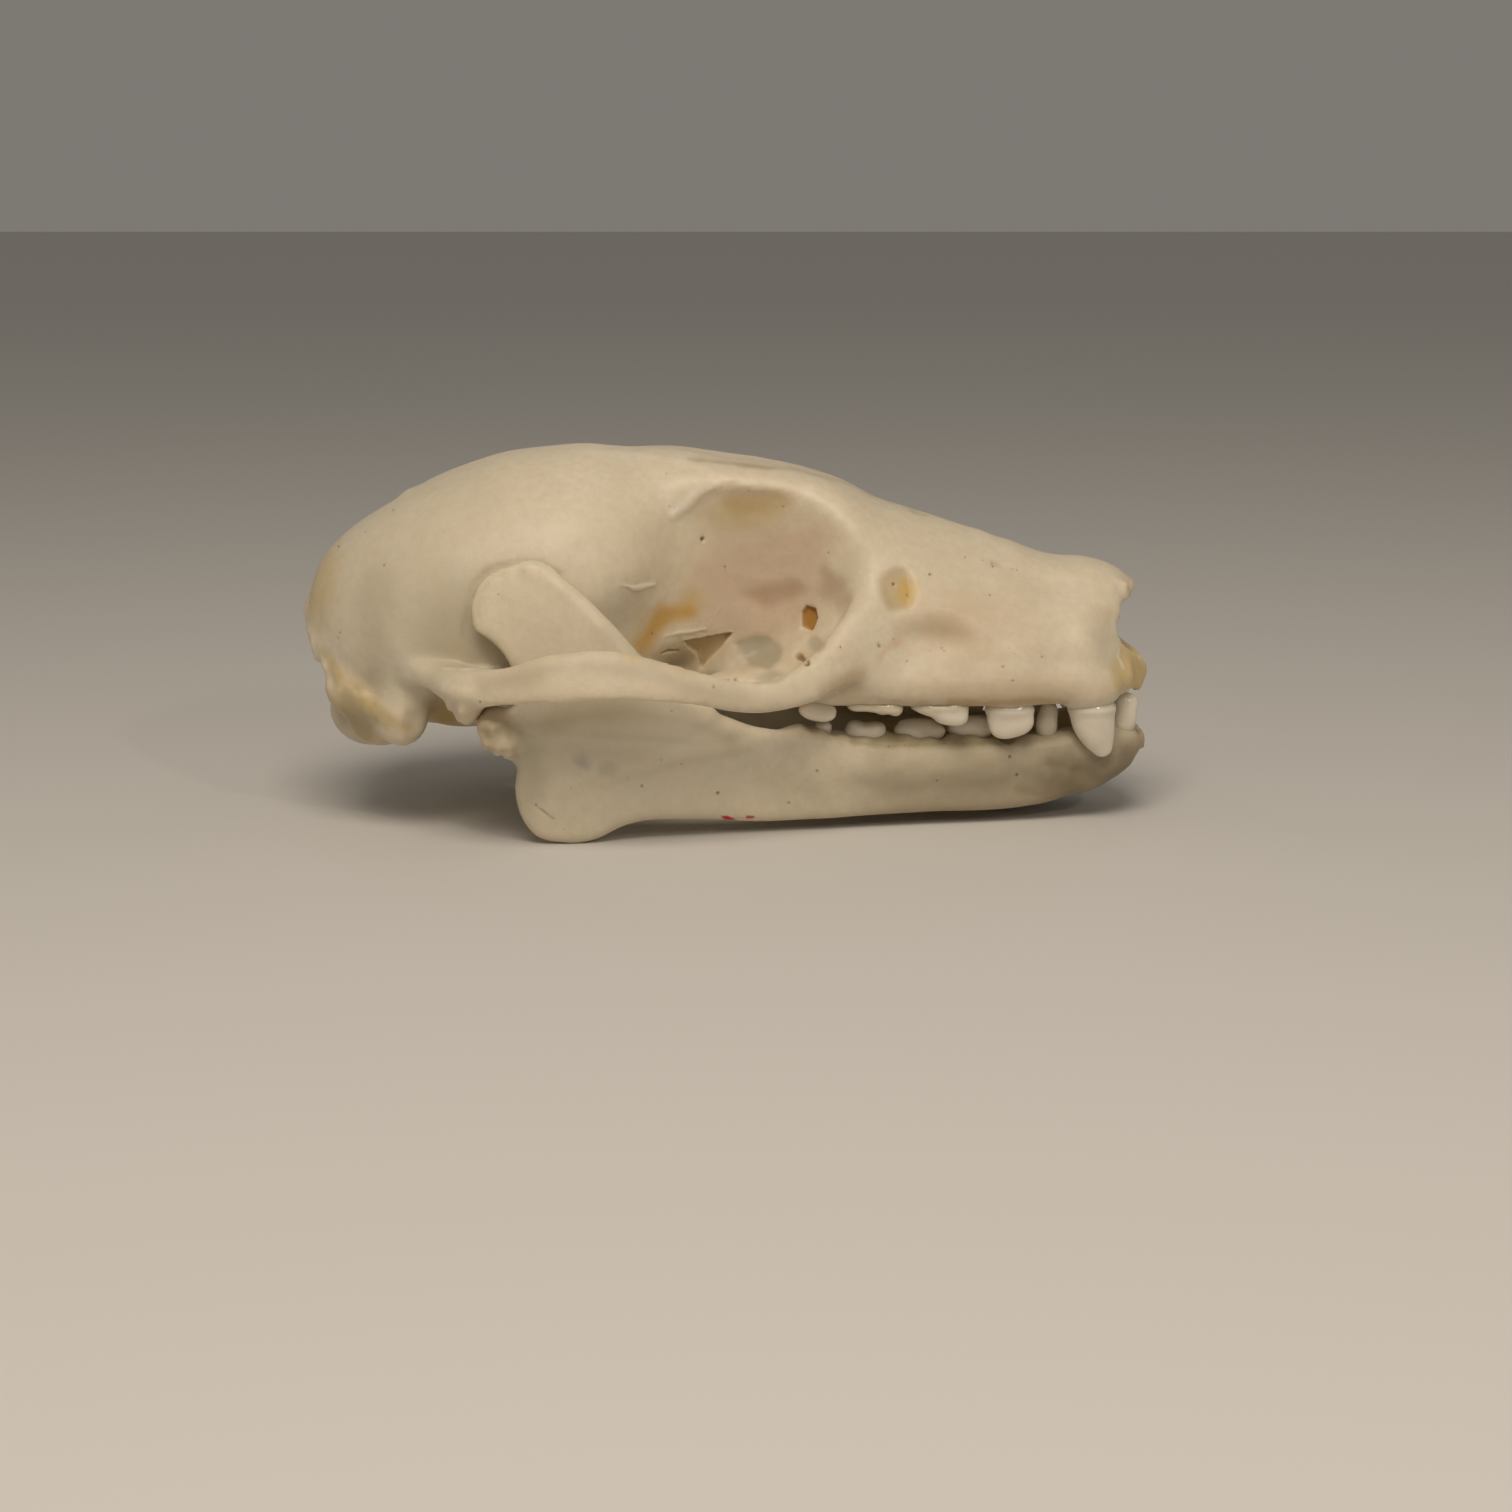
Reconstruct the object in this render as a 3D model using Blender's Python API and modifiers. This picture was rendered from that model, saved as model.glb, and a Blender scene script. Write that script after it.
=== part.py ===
"""Skull of a fruit bat: cranium, lower jaw and twenty-two loose teeth.

It rests on the jaw's two angles and its chin.

The frame is +X along the snout, +Y to the animal's left and +Z up. Its origin is on the resting plane,
under the middle of the skull. Tables are in millimetres and MM turns them into Blender's metres.
"""

import math

import bmesh
import bpy
import numpy as np
from mathutils import Euler, Matrix, Vector

MM = 0.001
SIDES = {"right": -1, "left": 1}

# Driving sizes of the whole skull, in millimetres
BRAINCASE_HALF_WIDTH = 8.2
ARCH_HALF_WIDTH = 12.2
WALL = 0.7
CLEARANCE = 0.3

# Fineness of the solids
VOXEL = 0.3
JAW_VOXEL = 0.25
RING_POINTS = 28
BAR_POINTS = 12
CRANIUM_TRIANGLES = 4100
JAW_TRIANGLES = 1750

BONE_COLOUR = (0.73, 0.62, 0.44, 1.0)
TOOTH_COLOUR = (0.85, 0.79, 0.66, 1.0)

# Braincase stations: x, floor, roof, half width, height of the widest point
BRAINCASE = (
    (-20.45, 9.2, 11.0, 1.3, 10.2),
    (-20.1, 8.0, 12.2, 3.0, 9.9),
    (-19.5, 7.2, 13.15, 4.2, 9.6),
    (-18.4, 6.1, 14.2, 5.6, 9.4),
    (-16.4, 5.4, 15.5, 6.9, 9.6),
    (-13.5, 5.1, 17.0, 7.9, 10.2),
    (-10.0, 5.2, 18.0, BRAINCASE_HALF_WIDTH, 10.8),
    (-7.0, 5.5, 18.25, 7.9, 11.3),
    (-4.5, 6.1, 18.05, 6.7, 11.8),
    (-2.4, 7.2, 17.9, 5.0, 12.2),
    (-0.6, 8.2, 17.5, 3.9, 12.6),
    (0.8, 9.0, 17.1, 3.2, 12.8),
)

# Beam between the eyes: x, floor, roof, half width, height of the widest point
BROW = (
    (-6.0, 11.0, 16.9, 2.6, 14.6),
    (-3.4, 9.6, 17.6, 3.2, 15.2),
    (-1.6, 8.2, 17.8, 3.9, 16.1),
    (0.8, 7.6, 17.6, 4.1, 16.5),
    (3.0, 7.4, 17.3, 4.1, 16.1),
    (5.4, 7.3, 16.6, 4.3, 14.4),
    (7.4, 7.2, 15.6, 4.5, 12.1),
    (9.4, 7.2, 14.6, 4.0, 11.0),
    (12.0, 8.0, 13.3, 2.4, 10.5),
)

# Thin walls of the air passage under the beam, down to the palate
AIR_PASSAGE_WALLS = (
    (-5.8, 6.6, 10.0, 2.2, 8.4),
    (-3.0, 6.9, 12.0, 2.7, 8.8),
    (1.0, 7.0, 13.0, 2.8, 9.2),
    (4.5, 7.0, 13.0, 3.2, 9.2),
    (7.0, 7.0, 12.0, 3.6, 9.0),
)

# Snout, widest at the tooth row: x, floor, roof, half width, widest height
SNOUT = (
    (0.4, 7.1, 8.2, 3.4, 7.6),
    (2.2, 6.9, 8.7, 5.3, 7.7),
    (3.8, 6.8, 9.8, 6.3, 7.9),
    (5.4, 6.7, 12.0, 6.6, 8.0),
    (7.2, 6.6, 14.6, 6.5, 8.1),
    (9.8, 6.4, 14.65, 6.15, 8.1),
    (12.9, 6.3, 13.8, 5.5, 8.0),
    (16.2, 6.3, 12.6, 4.75, 8.2),
    (17.8, 6.3, 12.4, 4.4, 8.3),
    (18.9, 6.6, 12.1, 3.7, 8.7),
    (19.5, 7.0, 11.7, 2.9, 9.0),
)

# Nasal bones that overhang the nostril opening
NASALS = (
    (14.0, 11.4, 13.2, 2.2, 12.2),
    (16.4, 11.0, 12.45, 2.2, 11.8),
    (17.8, 10.8, 12.5, 2.1, 11.6),
    (19.2, 10.3, 12.1, 1.9, 11.3),
    (19.9, 10.3, 11.7, 1.7, 11.2),
)

# Floor of the braincase, from the spinal hole forward
SKULL_BASE = (
    (-18.2, 5.0, 7.2, 2.2, 6.2),
    (-14.0, 4.4, 7.2, 2.2, 6.0),
    (-8.0, 5.0, 7.6, 2.0, 6.4),
    (-4.0, 6.2, 9.0, 1.6, 7.6),
    (-1.0, 7.4, 10.0, 1.6, 8.6),
)

# Raised rim over the orbit: x, distance from the midline, z, height, thickness
BROW_RIM = (
    (-2.6, 4.8, 15.1, 0.7, 0.8),
    (-1.6, 4.8, 15.95, 0.6, 0.8),
    (-0.4, 4.35, 16.5, 0.6, 0.9),
    (1.2, 3.9, 16.6, 0.5, 0.7),
    (2.6, 3.4, 16.4, 0.5, 0.6),
)

# Row of swollen bone that holds the upper teeth, and the same for the lower teeth
UPPER_TOOTH_RIDGE = (
    (3.0, 5.8, 7.1, 1.9, 1.9),
    (5.4, 5.75, 7.1, 1.9, 1.9),
    (8.5, 5.6, 7.05, 1.9, 2.0),
    (11.6, 5.25, 7.0, 1.9, 2.0),
    (14.9, 4.65, 7.0, 1.9, 2.0),
    (17.8, 3.85, 7.0, 1.9, 2.1),
    (19.3, 2.7, 7.1, 1.7, 1.6),
)
LOWER_TOOTH_RIDGE = (
    (3.6, 5.0, 4.35, 1.6, 1.5),
    (7.0, 4.4, 3.9, 1.7, 1.7),
    (12.0, 3.35, 3.55, 1.7, 1.7),
    (15.5, 2.85, 3.5, 1.8, 1.8),
    (19.4, 2.0, 3.75, 1.6, 1.7),
)

# Cheek arch from the upper jaw back to the ear region: x, distance from the midline, z, height, thickness
ARCH = (
    (8.6, 5.2, 10.1, 3.6, 1.5),
    (6.8, 6.3, 9.5, 3.2, 1.5),
    (5.1, 7.6, 8.4, 2.2, 1.35),
    (3.6, 8.7, 7.65, 1.6, 1.2),
    (2.0, 9.7, 7.35, 1.5, 1.15),
    (0.5, 10.5, 7.5, 1.5, 1.1),
    (-1.0, 11.2, 7.95, 1.55, 1.05),
    (-2.6, 11.7, 8.4, 1.85, 1.0),
    (-4.3, 12.05, 8.7, 2.0, 0.95),
    (-6.0, ARCH_HALF_WIDTH, 8.8, 2.05, 0.9),
    (-7.8, 12.1, 8.6, 1.95, 0.95),
    (-9.5, 11.6, 8.2, 1.7, 1.05),
    (-11.2, 10.4, 7.95, 1.3, 1.4),
    (-12.8, 8.9, 7.95, 1.1, 1.4),
    (-14.6, 7.0, 8.1, 1.0, 1.2),
)

# Ridge round the back of the skull, down to the mastoid: x, distance from the midline, z, height, thickness
NAPE_RIDGE = (
    (-20.1, 0.0, 10.2, 1.0, 0.9),
    (-20.1, 1.5, 9.9, 1.0, 0.9),
    (-19.85, 3.0, 9.1, 1.0, 0.9),
    (-19.2, 4.3, 8.1, 1.0, 0.9),
    (-18.4, 5.1, 7.2, 1.0, 0.9),
    (-17.1, 5.8, 6.3, 1.1, 1.0),
    (-15.8, 6.2, 5.5, 1.3, 1.2),
)

# Wing of bone beside the throat: x, distance from the midline, z, height, thickness
PTERYGOID = (
    (1.0, 2.7, 7.9, 1.8, 0.9),
    (-2.0, 2.3, 7.3, 2.2, 0.8),
    (-4.4, 2.1, 6.5, 2.2, 0.8),
    (-5.6, 2.0, 5.7, 1.2, 0.8),
)

# Small bone that closes the front of the snout, under the nostrils
PREMAXILLA = (
    (18.4, 2.7, 8.3, 3.4, 1.2),
    (19.6, 2.0, 7.8, 2.8, 1.0),
    (20.3, 0.9, 7.2, 1.9, 0.9),
    (20.4, -0.3, 7.0, 1.6, 0.8),
)

# Rooms inside the cranium: x, floor, roof, half width, widest height. The brain room follows the braincase.
BRAIN_ROOM = BRAINCASE[2:-4]
BRAIN_FRONT = (
    (-6.0, 9.0, 16.2, 3.4, 13.0),
    (-3.0, 10.0, 16.4, 2.2, 13.4),
    (0.0, 11.0, 16.2, 1.8, 13.8),
)
NOSE_ROOM = (
    (0.0, 6.6, 8.8, 1.3, 7.6),
    (3.5, 7.9, 10.2, 1.6, 8.8),
    (7.0, 8.0, 13.2, 2.9, 10.0),
    (10.0, 8.0, 13.0, 3.7, 9.8),
    (14.0, 7.9, 12.2, 3.5, 9.6),
    (17.6, 7.9, 11.4, 2.9, 9.5),
    (22.0, 7.9, 10.9, 2.1, 9.4),
)
NOSTRIL_NOTCH = (
    (19.55, 8.7, 10.0, 4.2, 9.3),
    (20.3, 8.2, 10.4, 4.4, 9.3),
    (22.0, 7.6, 10.7, 4.4, 9.3),
)
THROAT = (
    (-6.2, 4.6, 6.6, 1.2, 5.5),
    (-4.0, 5.0, 7.4, 1.4, 6.2),
    (0.5, 6.0, 8.6, 1.4, 7.2),
)
PALATE_ARCH = (
    (1.5, 5.0, 6.9, 3.4, 6.0),
    (8.0, 5.0, 7.2, 3.9, 6.0),
    (14.0, 5.0, 7.0, 3.1, 6.0),
    (19.0, 5.0, 6.8, 2.0, 6.0),
)

# Eggs taken out of each side: centre, radii, turn about the upright, segments, and how boxy it is
SIDE_HOLLOWS = (
    ("orbit", (1.6, 8.3, 12.8), (4.6, 5.4, 4.7), 0, 32, 2.6),
    ("temple", (-1.4, 8.5, 9.6), (4.4, 4.7, 3.5), 0, 28, 2.0),
    ("cheek_pit", (8.1, 5.6, 11.7), (0.9, 0.6, 1.1), 20, 20, 2.0),
    ("nostril_side", (19.6, 4.6, 9.5), (1.1, 1.2, 1.6), 0, 20, 2.0),
    ("ear_notch", (-13.4, 7.6, 6.3), (0.8, 1.9, 0.9), 0, 20, 2.0),
    ("ear_hollow", (-14.6, 8.6, 5.6), (0.9, 2.0, 1.0), 0, 20, 2.0),
)

# Outline of one side of the lower jaw seen from the side: x, z
JAW_OUTLINE = (
    (-11.7, 10.3), (-11.9, 11.3), (-11.7, 12.2), (-11.1, 13.0), (-10.1, 13.45), (-9.0, 13.55), (-8.1, 13.35),
    (-7.7, 12.85), (-6.3, 11.4), (-5.0, 9.8), (-3.6, 8.1), (-2.1, 6.9), (-0.3, 6.0), (1.5, 5.2), (3.6, 4.85),
    (5.8, 4.6), (8.4, 4.3), (11.0, 4.1), (13.5, 4.05), (15.5, 4.1), (17.2, 4.2), (18.6, 4.4), (18.2, 1.7),
    (16.6, 1.1), (14.0, 0.65), (11.5, 0.65), (8.0, 0.6), (4.7, 0.55), (1.5, 0.6), (-2.1, 0.9), (-3.7, 0.9),
    (-4.8, 0.7), (-6.2, 0.1), (-7.6, -0.15), (-8.9, 0.3), (-9.7, 1.5), (-9.9, 2.7), (-9.8, 3.9), (-10.5, 4.7),
    (-10.8, 5.5), (-10.1, 6.3), (-9.7, 7.3), (-9.9, 8.4), (-10.6, 9.5),
)

# Distance of a jaw side from the midline at z = 5, by x
JAW_SPREAD = (
    (-12.5, 8.75),
    (-7.0, 8.5),
    (-2.0, 7.2),
    (2.0, 5.8),
    (7.0, 4.4),
    (12.0, 3.4),
    (15.0, 2.8),
    (19.0, 1.9),
)

# How far a side leans out for each millimetre up, and how much its blade is tucked in again above a height
JAW_LEAN = 0.1
BLADE_TUCK = 0.08
BLADE_TUCK_FROM = 8.0

# Thickness of a side by x at z = 5, and how that changes with z
JAW_THICKNESS = ((-6.0, 0.85), (0.0, 1.2), (5.0, 1.9))
BLADE_THINNING = ((5.0, 1.0), (9.0, 0.85), (13.5, 0.7))

# Joined front of the jaw: x, floor, roof, half width, widest height
CHIN = (
    (12.2, 0.7, 2.4, 1.6, 1.6),
    (13.4, -0.15, 3.1, 2.4, 1.9),
    (15.2, 0.3, 3.7, 2.8, 2.4),
    (16.6, 0.75, 3.9, 2.9, 2.7),
    (18.2, 1.45, 4.2, 2.9, 3.2),
    (19.6, 2.4, 4.35, 2.5, 3.6),
    (20.75, 3.1, 4.2, 1.6, 3.75),
)

# Teeth of one side: x of the back and front edge, distance from the midline, width, z of the neck, tip x,
# tip z, roots. The crowns stand CLEARANCE clear of the bone, and the roots reach ROOT_DEPTH past the neck.
ROOT_DEPTH = 0.9
CROWN_POINTS = 8
ROOT_POINTS = 6

# Levels of a crown, from its neck to its blunt tip: rise, size, and how far it is pulled over to the tip
CROWN_LEVELS = ((0.0, 0.85, 0.0), (0.3, 1.0, 0.1), (0.72, 0.72, 0.6), (1.0, 0.25, 1.0))

# Levels of a root, from inside the crown into the bone: depth and size. A socket is grown at its corners by
# more than CLEARANCE, so that its flat sides keep that distance too.
ROOT_LEVELS = ((-0.2, 1.0), (1.0, 0.7))
SOCKET_GROWTH = CLEARANCE / math.cos(math.pi / ROOT_POINTS)

TEETH = {
    "upper_canine": (16.75, 18.75, 3.85, 1.45, 5.9, 18.3, 3.5, 1),
    "upper_front_premolar": (12.6, 14.9, 4.65, 1.3, 5.9, 13.9, 4.5, 2),
    "upper_back_premolar": (9.0, 11.6, 5.25, 1.4, 5.95, 10.9, 5.15, 2),
    "upper_first_molar": (5.9, 8.5, 5.6, 1.4, 6.0, 7.0, 5.5, 2),
    "upper_second_molar": (3.5, 5.4, 5.75, 1.2, 6.0, 4.4, 5.5, 1),
    "lower_canine": (19.05, 20.15, 2.0, 1.0, 4.7, 19.6, 6.1, 1),
    "lower_front_premolar": (15.3, 16.3, 2.85, 0.9, 4.6, 15.9, 5.75, 1),
    "lower_back_premolar": (11.0, 13.0, 3.35, 1.0, 4.6, 12.2, 5.5, 2),
    "lower_first_molar": (8.2, 10.7, 3.85, 1.0, 4.75, 9.3, 5.55, 2),
    "lower_second_molar": (5.8, 7.8, 4.35, 1.0, 4.95, 6.6, 5.55, 2),
    "lower_third_molar": (4.4, 5.2, 4.85, 0.75, 5.25, 4.8, 5.6, 1),
}


def clear_scene():
    for obj in list(bpy.data.objects):
        bpy.data.objects.remove(obj, do_unlink=True)


def collection(name, helper=False):
    """A new collection in the scene; a helper's objects are cutters and guides that never render."""
    made = bpy.data.collections.new(name)
    bpy.context.scene.collection.children.link(made)
    made.hide_render = helper
    return made


def add_object(name, mesh, group):
    obj = bpy.data.objects.new(name, mesh)
    group.objects.link(obj)
    if group.hide_render:
        obj.hide_render = True
        obj.display_type = "WIRE"
    return obj


def material(name, colour, roughness):
    made = bpy.data.materials.new(name)
    made.use_nodes = True
    shader = made.node_tree.nodes["Principled BSDF"]
    shader.inputs["Base Color"].default_value = colour
    shader.inputs["Roughness"].default_value = roughness
    shader.inputs["Metallic"].default_value = 0.0
    return made


def eased(stations, count):
    """Reads a table at even steps along a smooth curve through all of its rows."""
    table = np.array(stations, float)
    lengths = np.linalg.norm(np.diff(table[:, :3], axis=0), axis=1)
    reached = np.append(0, np.cumsum(lengths))
    slopes = np.gradient(table, reached, axis=0)
    steps = np.linspace(0, reached[-1], count)
    i = np.clip(np.searchsorted(reached, steps) - 1, 0, len(table) - 2)
    span = lengths[i][:, None]
    t = ((steps - reached[i])[:, None]) / span
    from_start = (2 * t**3 - 3 * t**2 + 1) * table[i] + (t**3 - 2 * t**2 + t) * span * slopes[i]
    to_end = (3 * t**2 - 2 * t**3) * table[i + 1] + (t**3 - t**2) * span * slopes[i + 1]
    return from_start + to_end


def rounded(angle, power):
    """A point of a rounded box of half size 1: power 2 is a circle, and more is squarer."""
    c, s = math.cos(angle), math.sin(angle)
    return math.copysign(abs(c) ** (2 / power), c), math.copysign(abs(s) ** (2 / power), s)


def loft(name, rings, group):
    """A closed skin over rings of points in millimetres, each ring with the same number of points."""
    bm = bmesh.new()
    rows = [[bm.verts.new(Vector(point) * MM) for point in ring] for ring in rings]
    for one, two in zip(rows, rows[1:]):
        for k in range(len(one)):
            following = (k + 1) % len(one)
            bm.faces.new((one[k], one[following], two[following], two[k]))
    bm.faces.new(rows[0][::-1])
    bm.faces.new(rows[-1])
    bmesh.ops.recalc_face_normals(bm, faces=bm.faces)
    mesh = bpy.data.meshes.new(name)
    bm.to_mesh(mesh)
    bm.free()
    return add_object(name, mesh, group)


def body(name, stations, group, top_power=2.0, floor_power=2.0, steps=36, grow=0.0):
    """A closed form with a rounded section at each station. Grow moves its skin out, or in if negative."""
    rings = []
    for x, floor, roof, half, widest in eased(stations, steps):
        ring = []
        for k in range(RING_POINTS):
            angle = 2 * math.pi * k / RING_POINTS
            across, up = rounded(angle, top_power if math.sin(angle) > 0 else floor_power)
            reach = (roof - widest if up > 0 else widest - floor) + grow
            ring.append((x, across * (half + grow), widest + up * reach))
        rings.append(ring)
    return loft(name, rings, group)


def bar(name, stations, side, group, steps=40):
    """A bent bar with an oval section. Stations give x, distance from the midline, z, height, thickness."""
    table = eased(stations, steps)
    centres = [Vector((x, side * y, z)) for x, y, z, _, _ in table]
    rings = []
    for k, (_, _, _, height, thickness) in enumerate(table):
        along = centres[min(k + 1, steps - 1)] - centres[max(k - 1, 0)]
        flat = along.cross(Vector((0, 0, 1))).normalized()
        up = flat.cross(along).normalized()
        rings.append([
            centres[k] + flat * (math.cos(a) * thickness / 2) + up * (math.sin(a) * height / 2)
            for a in (2 * math.pi * p / BAR_POINTS for p in range(BAR_POINTS))
        ])
    return loft(name, rings, group)


def egg(name, centre, radii, group, turn=(0, 0, 0), segments=20, power=2.0):
    """An ellipsoid, turned by degrees about X, Y and Z; a power over 2 makes it boxier."""
    bm = bmesh.new()
    bmesh.ops.create_uvsphere(bm, u_segments=segments, v_segments=segments // 2, radius=1)
    for vertex in bm.verts:
        vertex.co /= sum(abs(c) ** power for c in vertex.co) ** (1 / power)
    rotation = Euler([math.radians(t) for t in turn]).to_matrix().to_4x4()
    stretch = Matrix.Diagonal((*(r * MM for r in radii), 1))
    place = Matrix.Translation(Vector(centre) * MM) @ rotation @ stretch
    bmesh.ops.transform(bm, matrix=place, verts=bm.verts)
    mesh = bpy.data.meshes.new(name)
    bm.to_mesh(mesh)
    bm.free()
    return add_object(name, mesh, group)


def joined(name, objects, group):
    """One object that holds the meshes of several, which are removed."""
    bm = bmesh.new()
    for obj in objects:
        bm.from_mesh(obj.data)
        bpy.data.objects.remove(obj, do_unlink=True)
    mesh = bpy.data.meshes.new(name)
    bm.to_mesh(mesh)
    bm.free()
    return add_object(name, mesh, group)


def remeshed(obj, voxel, smoothing):
    """Fuses what overlaps in obj into one skin, and rounds its creases."""
    fuse = obj.modifiers.new("fuse", "REMESH")
    fuse.mode = "VOXEL"
    fuse.voxel_size = voxel * MM
    soften = obj.modifiers.new("soften", "SMOOTH")
    soften.factor = 0.5
    soften.iterations = smoothing


def boolean(obj, operation, others):
    step = obj.modifiers.new(operation.lower(), "BOOLEAN")
    step.operation = operation
    step.operand_type = "COLLECTION"
    step.collection = others
    step.solver = "EXACT"


def settled(obj):
    """Applies the modifiers of obj."""
    graph = bpy.context.evaluated_depsgraph_get()
    mesh = bpy.data.meshes.new_from_object(obj.evaluated_get(graph))
    obj.modifiers.clear()
    obj.data = mesh
    return obj


def thinned(obj, triangles):
    """Merges small faces until about this many triangles are left."""
    count = sum(len(face.vertices) - 2 for face in obj.data.polygons)
    merge = obj.modifiers.new("merge_small_faces", "DECIMATE")
    merge.ratio = min(1.0, triangles / count)
    merge.use_collapse_triangulate = True
    return settled(obj)


def on_side(place, side):
    """The same place on one side of the skull."""
    return place[0], side * place[1], place[2]


def side_masses(side_name, side, group):
    """The closed forms of one side of the cranium."""

    def swelling(name, centre, radii, turn=(0, 0, 0)):
        turned = (side * turn[0], turn[1], side * turn[2])
        return egg(f"{name}_{side_name}", on_side(centre, side), radii, group, turned)

    def ridge(name, stations, steps):
        return bar(f"{name}_{side_name}", stations, side, group, steps)

    return [
        swelling("condyle", (-17.35, 3.0, 5.5), (1.95, 1.3, 1.75), (-12, 8, 0)),
        swelling("condyle_root", (-16.6, 4.6, 5.3), (1.5, 1.2, 1.2)),
        swelling("nape_corner", (-17.9, 4.9, 6.7), (1.1, 0.9, 1.1), (0, 40, 0)),
        swelling("mastoid", (-15.2, 6.1, 6.1), (1.1, 0.9, 1.6)),
        swelling("cochlea", (-12.6, 3.9, 6.2), (2.6, 1.4, 1.3), (0, 0, -10)),
        swelling("jaw_socket_shelf", (-11.6, 9.0, 7.75), (1.6, 2.2, 0.6)),
        swelling("back_stop", (-12.2, 9.0, 6.95), (0.55, 1.4, 0.75)),
        swelling("canine_swelling", (17.6, 3.7, 7.7), (1.1, 0.8, 1.55), (0, -14, 0)),
        ridge("pterygoid", PTERYGOID, 12),
        ridge("tooth_ridge", UPPER_TOOTH_RIDGE, 24),
        ridge("nape_ridge", NAPE_RIDGE, 16),
        ridge("premaxilla", PREMAXILLA, 12),
    ]


def main_masses(group):
    """The closed forms that the cranium grows from, before its hollows are cut."""
    made = [
        body("braincase", BRAINCASE, group, 2.1, 2.6, grow=-0.05),
        body("brow", BROW, group, 2.4, 2.0),
        body("snout", SNOUT, group, 1.75, 3.4),
        body("nasals", NASALS, group, 2.2, 2.2),
        body("air_passage_walls", AIR_PASSAGE_WALLS, group, 3.0, 3.0),
        body("skull_base", SKULL_BASE, group),
        egg("sagittal_bump", (-15.35, 0, 15.2), (0.55, 1.5, 0.75), group, (0, -20, 0)),
    ]
    for side_name, side in SIDES.items():
        made += side_masses(side_name, side, group)
    return made


def hollows(group):
    """What is taken out of the cranium: orbits, brain room, nose, throat and palate."""
    body("brain_room", BRAIN_ROOM, group, 2.1, 2.6, grow=-WALL - 0.1)
    body("brain_front", BRAIN_FRONT, group, steps=10)
    body("nose_room", NOSE_ROOM, group, steps=20)
    body("nostril_notch", NOSTRIL_NOTCH, group, steps=8)
    body("throat", THROAT, group, steps=12)
    body("palate_arch", PALATE_ARCH, group, steps=12)
    egg("spinal_hole", (-19.0, 0, 7.0), (2.6, 1.9, 1.85), group, (0, -10, 0))
    for side_name, side in SIDES.items():
        for name, centre, radii, turn, segments, power in SIDE_HOLLOWS:
            turned = (0, 0, side * turn)
            egg(f"{name}_{side_name}", on_side(centre, side), radii, group, turned, segments, power)


def cranium(bones, sockets):
    """The skull without its jaw: masses fused, hollows cut, rims and arches joined on, sockets cut."""
    forms = collection("cranium_forms", helper=True)
    cutters = collection("cranium_cutters", helper=True)
    late_forms = collection("arches_rims_and_floors", helper=True)
    skull = joined("cranium", main_masses(forms), bones)
    hollows(cutters)
    for side_name, side in SIDES.items():
        bar("cheek_arch_" + side_name, ARCH, side, late_forms)
        bar("brow_rim_" + side_name, BROW_RIM, side, late_forms, 20)
        egg("socket_floor_" + side_name, (1.6, side * 4.3, 7.1), (2.8, 1.5, 0.7), late_forms)
    remeshed(skull, VOXEL, 4)
    boolean(skull, "DIFFERENCE", cutters)
    boolean(skull, "UNION", late_forms)
    remeshed(skull, VOXEL, 3)
    thinned(settled(skull), CRANIUM_TRIANGLES)
    boolean(skull, "DIFFERENCE", sockets)
    return settled(skull)


def jaw_side(name, side, group):
    """One side of the jaw: its outline cut from a flat plate, then bent round and given its thickness."""
    curve = bpy.data.curves.new(name, "CURVE")
    curve.dimensions = "2D"
    curve.fill_mode = "BOTH"
    curve.extrude = 0.5 * MM
    line = curve.splines.new("NURBS")
    line.points.add(len(JAW_OUTLINE) - 1)
    for point, (x, z) in zip(line.points, JAW_OUTLINE):
        point.co = (x * MM, z * MM, 0, 1)
    line.use_cyclic_u = True
    line.order_u = 3
    line.resolution_u = 3
    plate = bpy.data.objects.new(name, curve)
    group.objects.link(plate)
    graph = bpy.context.evaluated_depsgraph_get()
    mesh = bpy.data.meshes.new_from_object(plate.evaluated_get(graph))
    bpy.data.objects.remove(plate, do_unlink=True)
    bm = bmesh.new()
    bm.from_mesh(mesh)
    bmesh.ops.remove_doubles(bm, verts=bm.verts, dist=0.0001 * MM)
    bm.to_mesh(mesh)
    bm.free()
    plate = add_object(name, mesh, group)
    remeshed(plate, JAW_VOXEL, 0)
    settled(plate)
    spread_x, spread_y = eased(JAW_SPREAD, 60).T
    for vertex in plate.data.vertices:
        x, z, across = vertex.co / MM
        tuck = BLADE_TUCK * max(z - BLADE_TUCK_FROM, 0) ** 1.5
        spread = np.interp(x, spread_x, spread_y) + JAW_LEAN * (z - 5) - tuck
        vertex.co = Vector((x, side * spread - across * jaw_thickness(x, z), z)) * MM
    return plate


def jaw_thickness(x, z):
    """Thick along the tooth row, and a thin blade up the back."""
    return np.interp(x, *zip(*JAW_THICKNESS)) * np.interp(z, *zip(*BLADE_THINNING))


def lower_jaw(bones, sockets):
    """Both sides of the jaw fused at the chin, with the hinge knobs at the back."""
    forms = collection("jaw_forms", helper=True)
    made = [body("chin", CHIN, forms, 2.4, 1.8, steps=20)]
    for side_name, side in SIDES.items():
        made += [
            jaw_side("jaw_side_" + side_name, side, forms),
            egg("jaw_knob_" + side_name, (-10.5, side * 9.05, 5.6), (1.0, 1.5, 0.9), forms),
            bar("lower_ridge_" + side_name, LOWER_TOOTH_RIDGE, side, forms, 16),
        ]
    jaw = joined("mandible", made, bones)
    remeshed(jaw, JAW_VOXEL, 3)
    thinned(settled(jaw), JAW_TRIANGLES)
    resting_plane(sockets)
    boolean(jaw, "DIFFERENCE", sockets)
    return settled(jaw)


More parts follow.
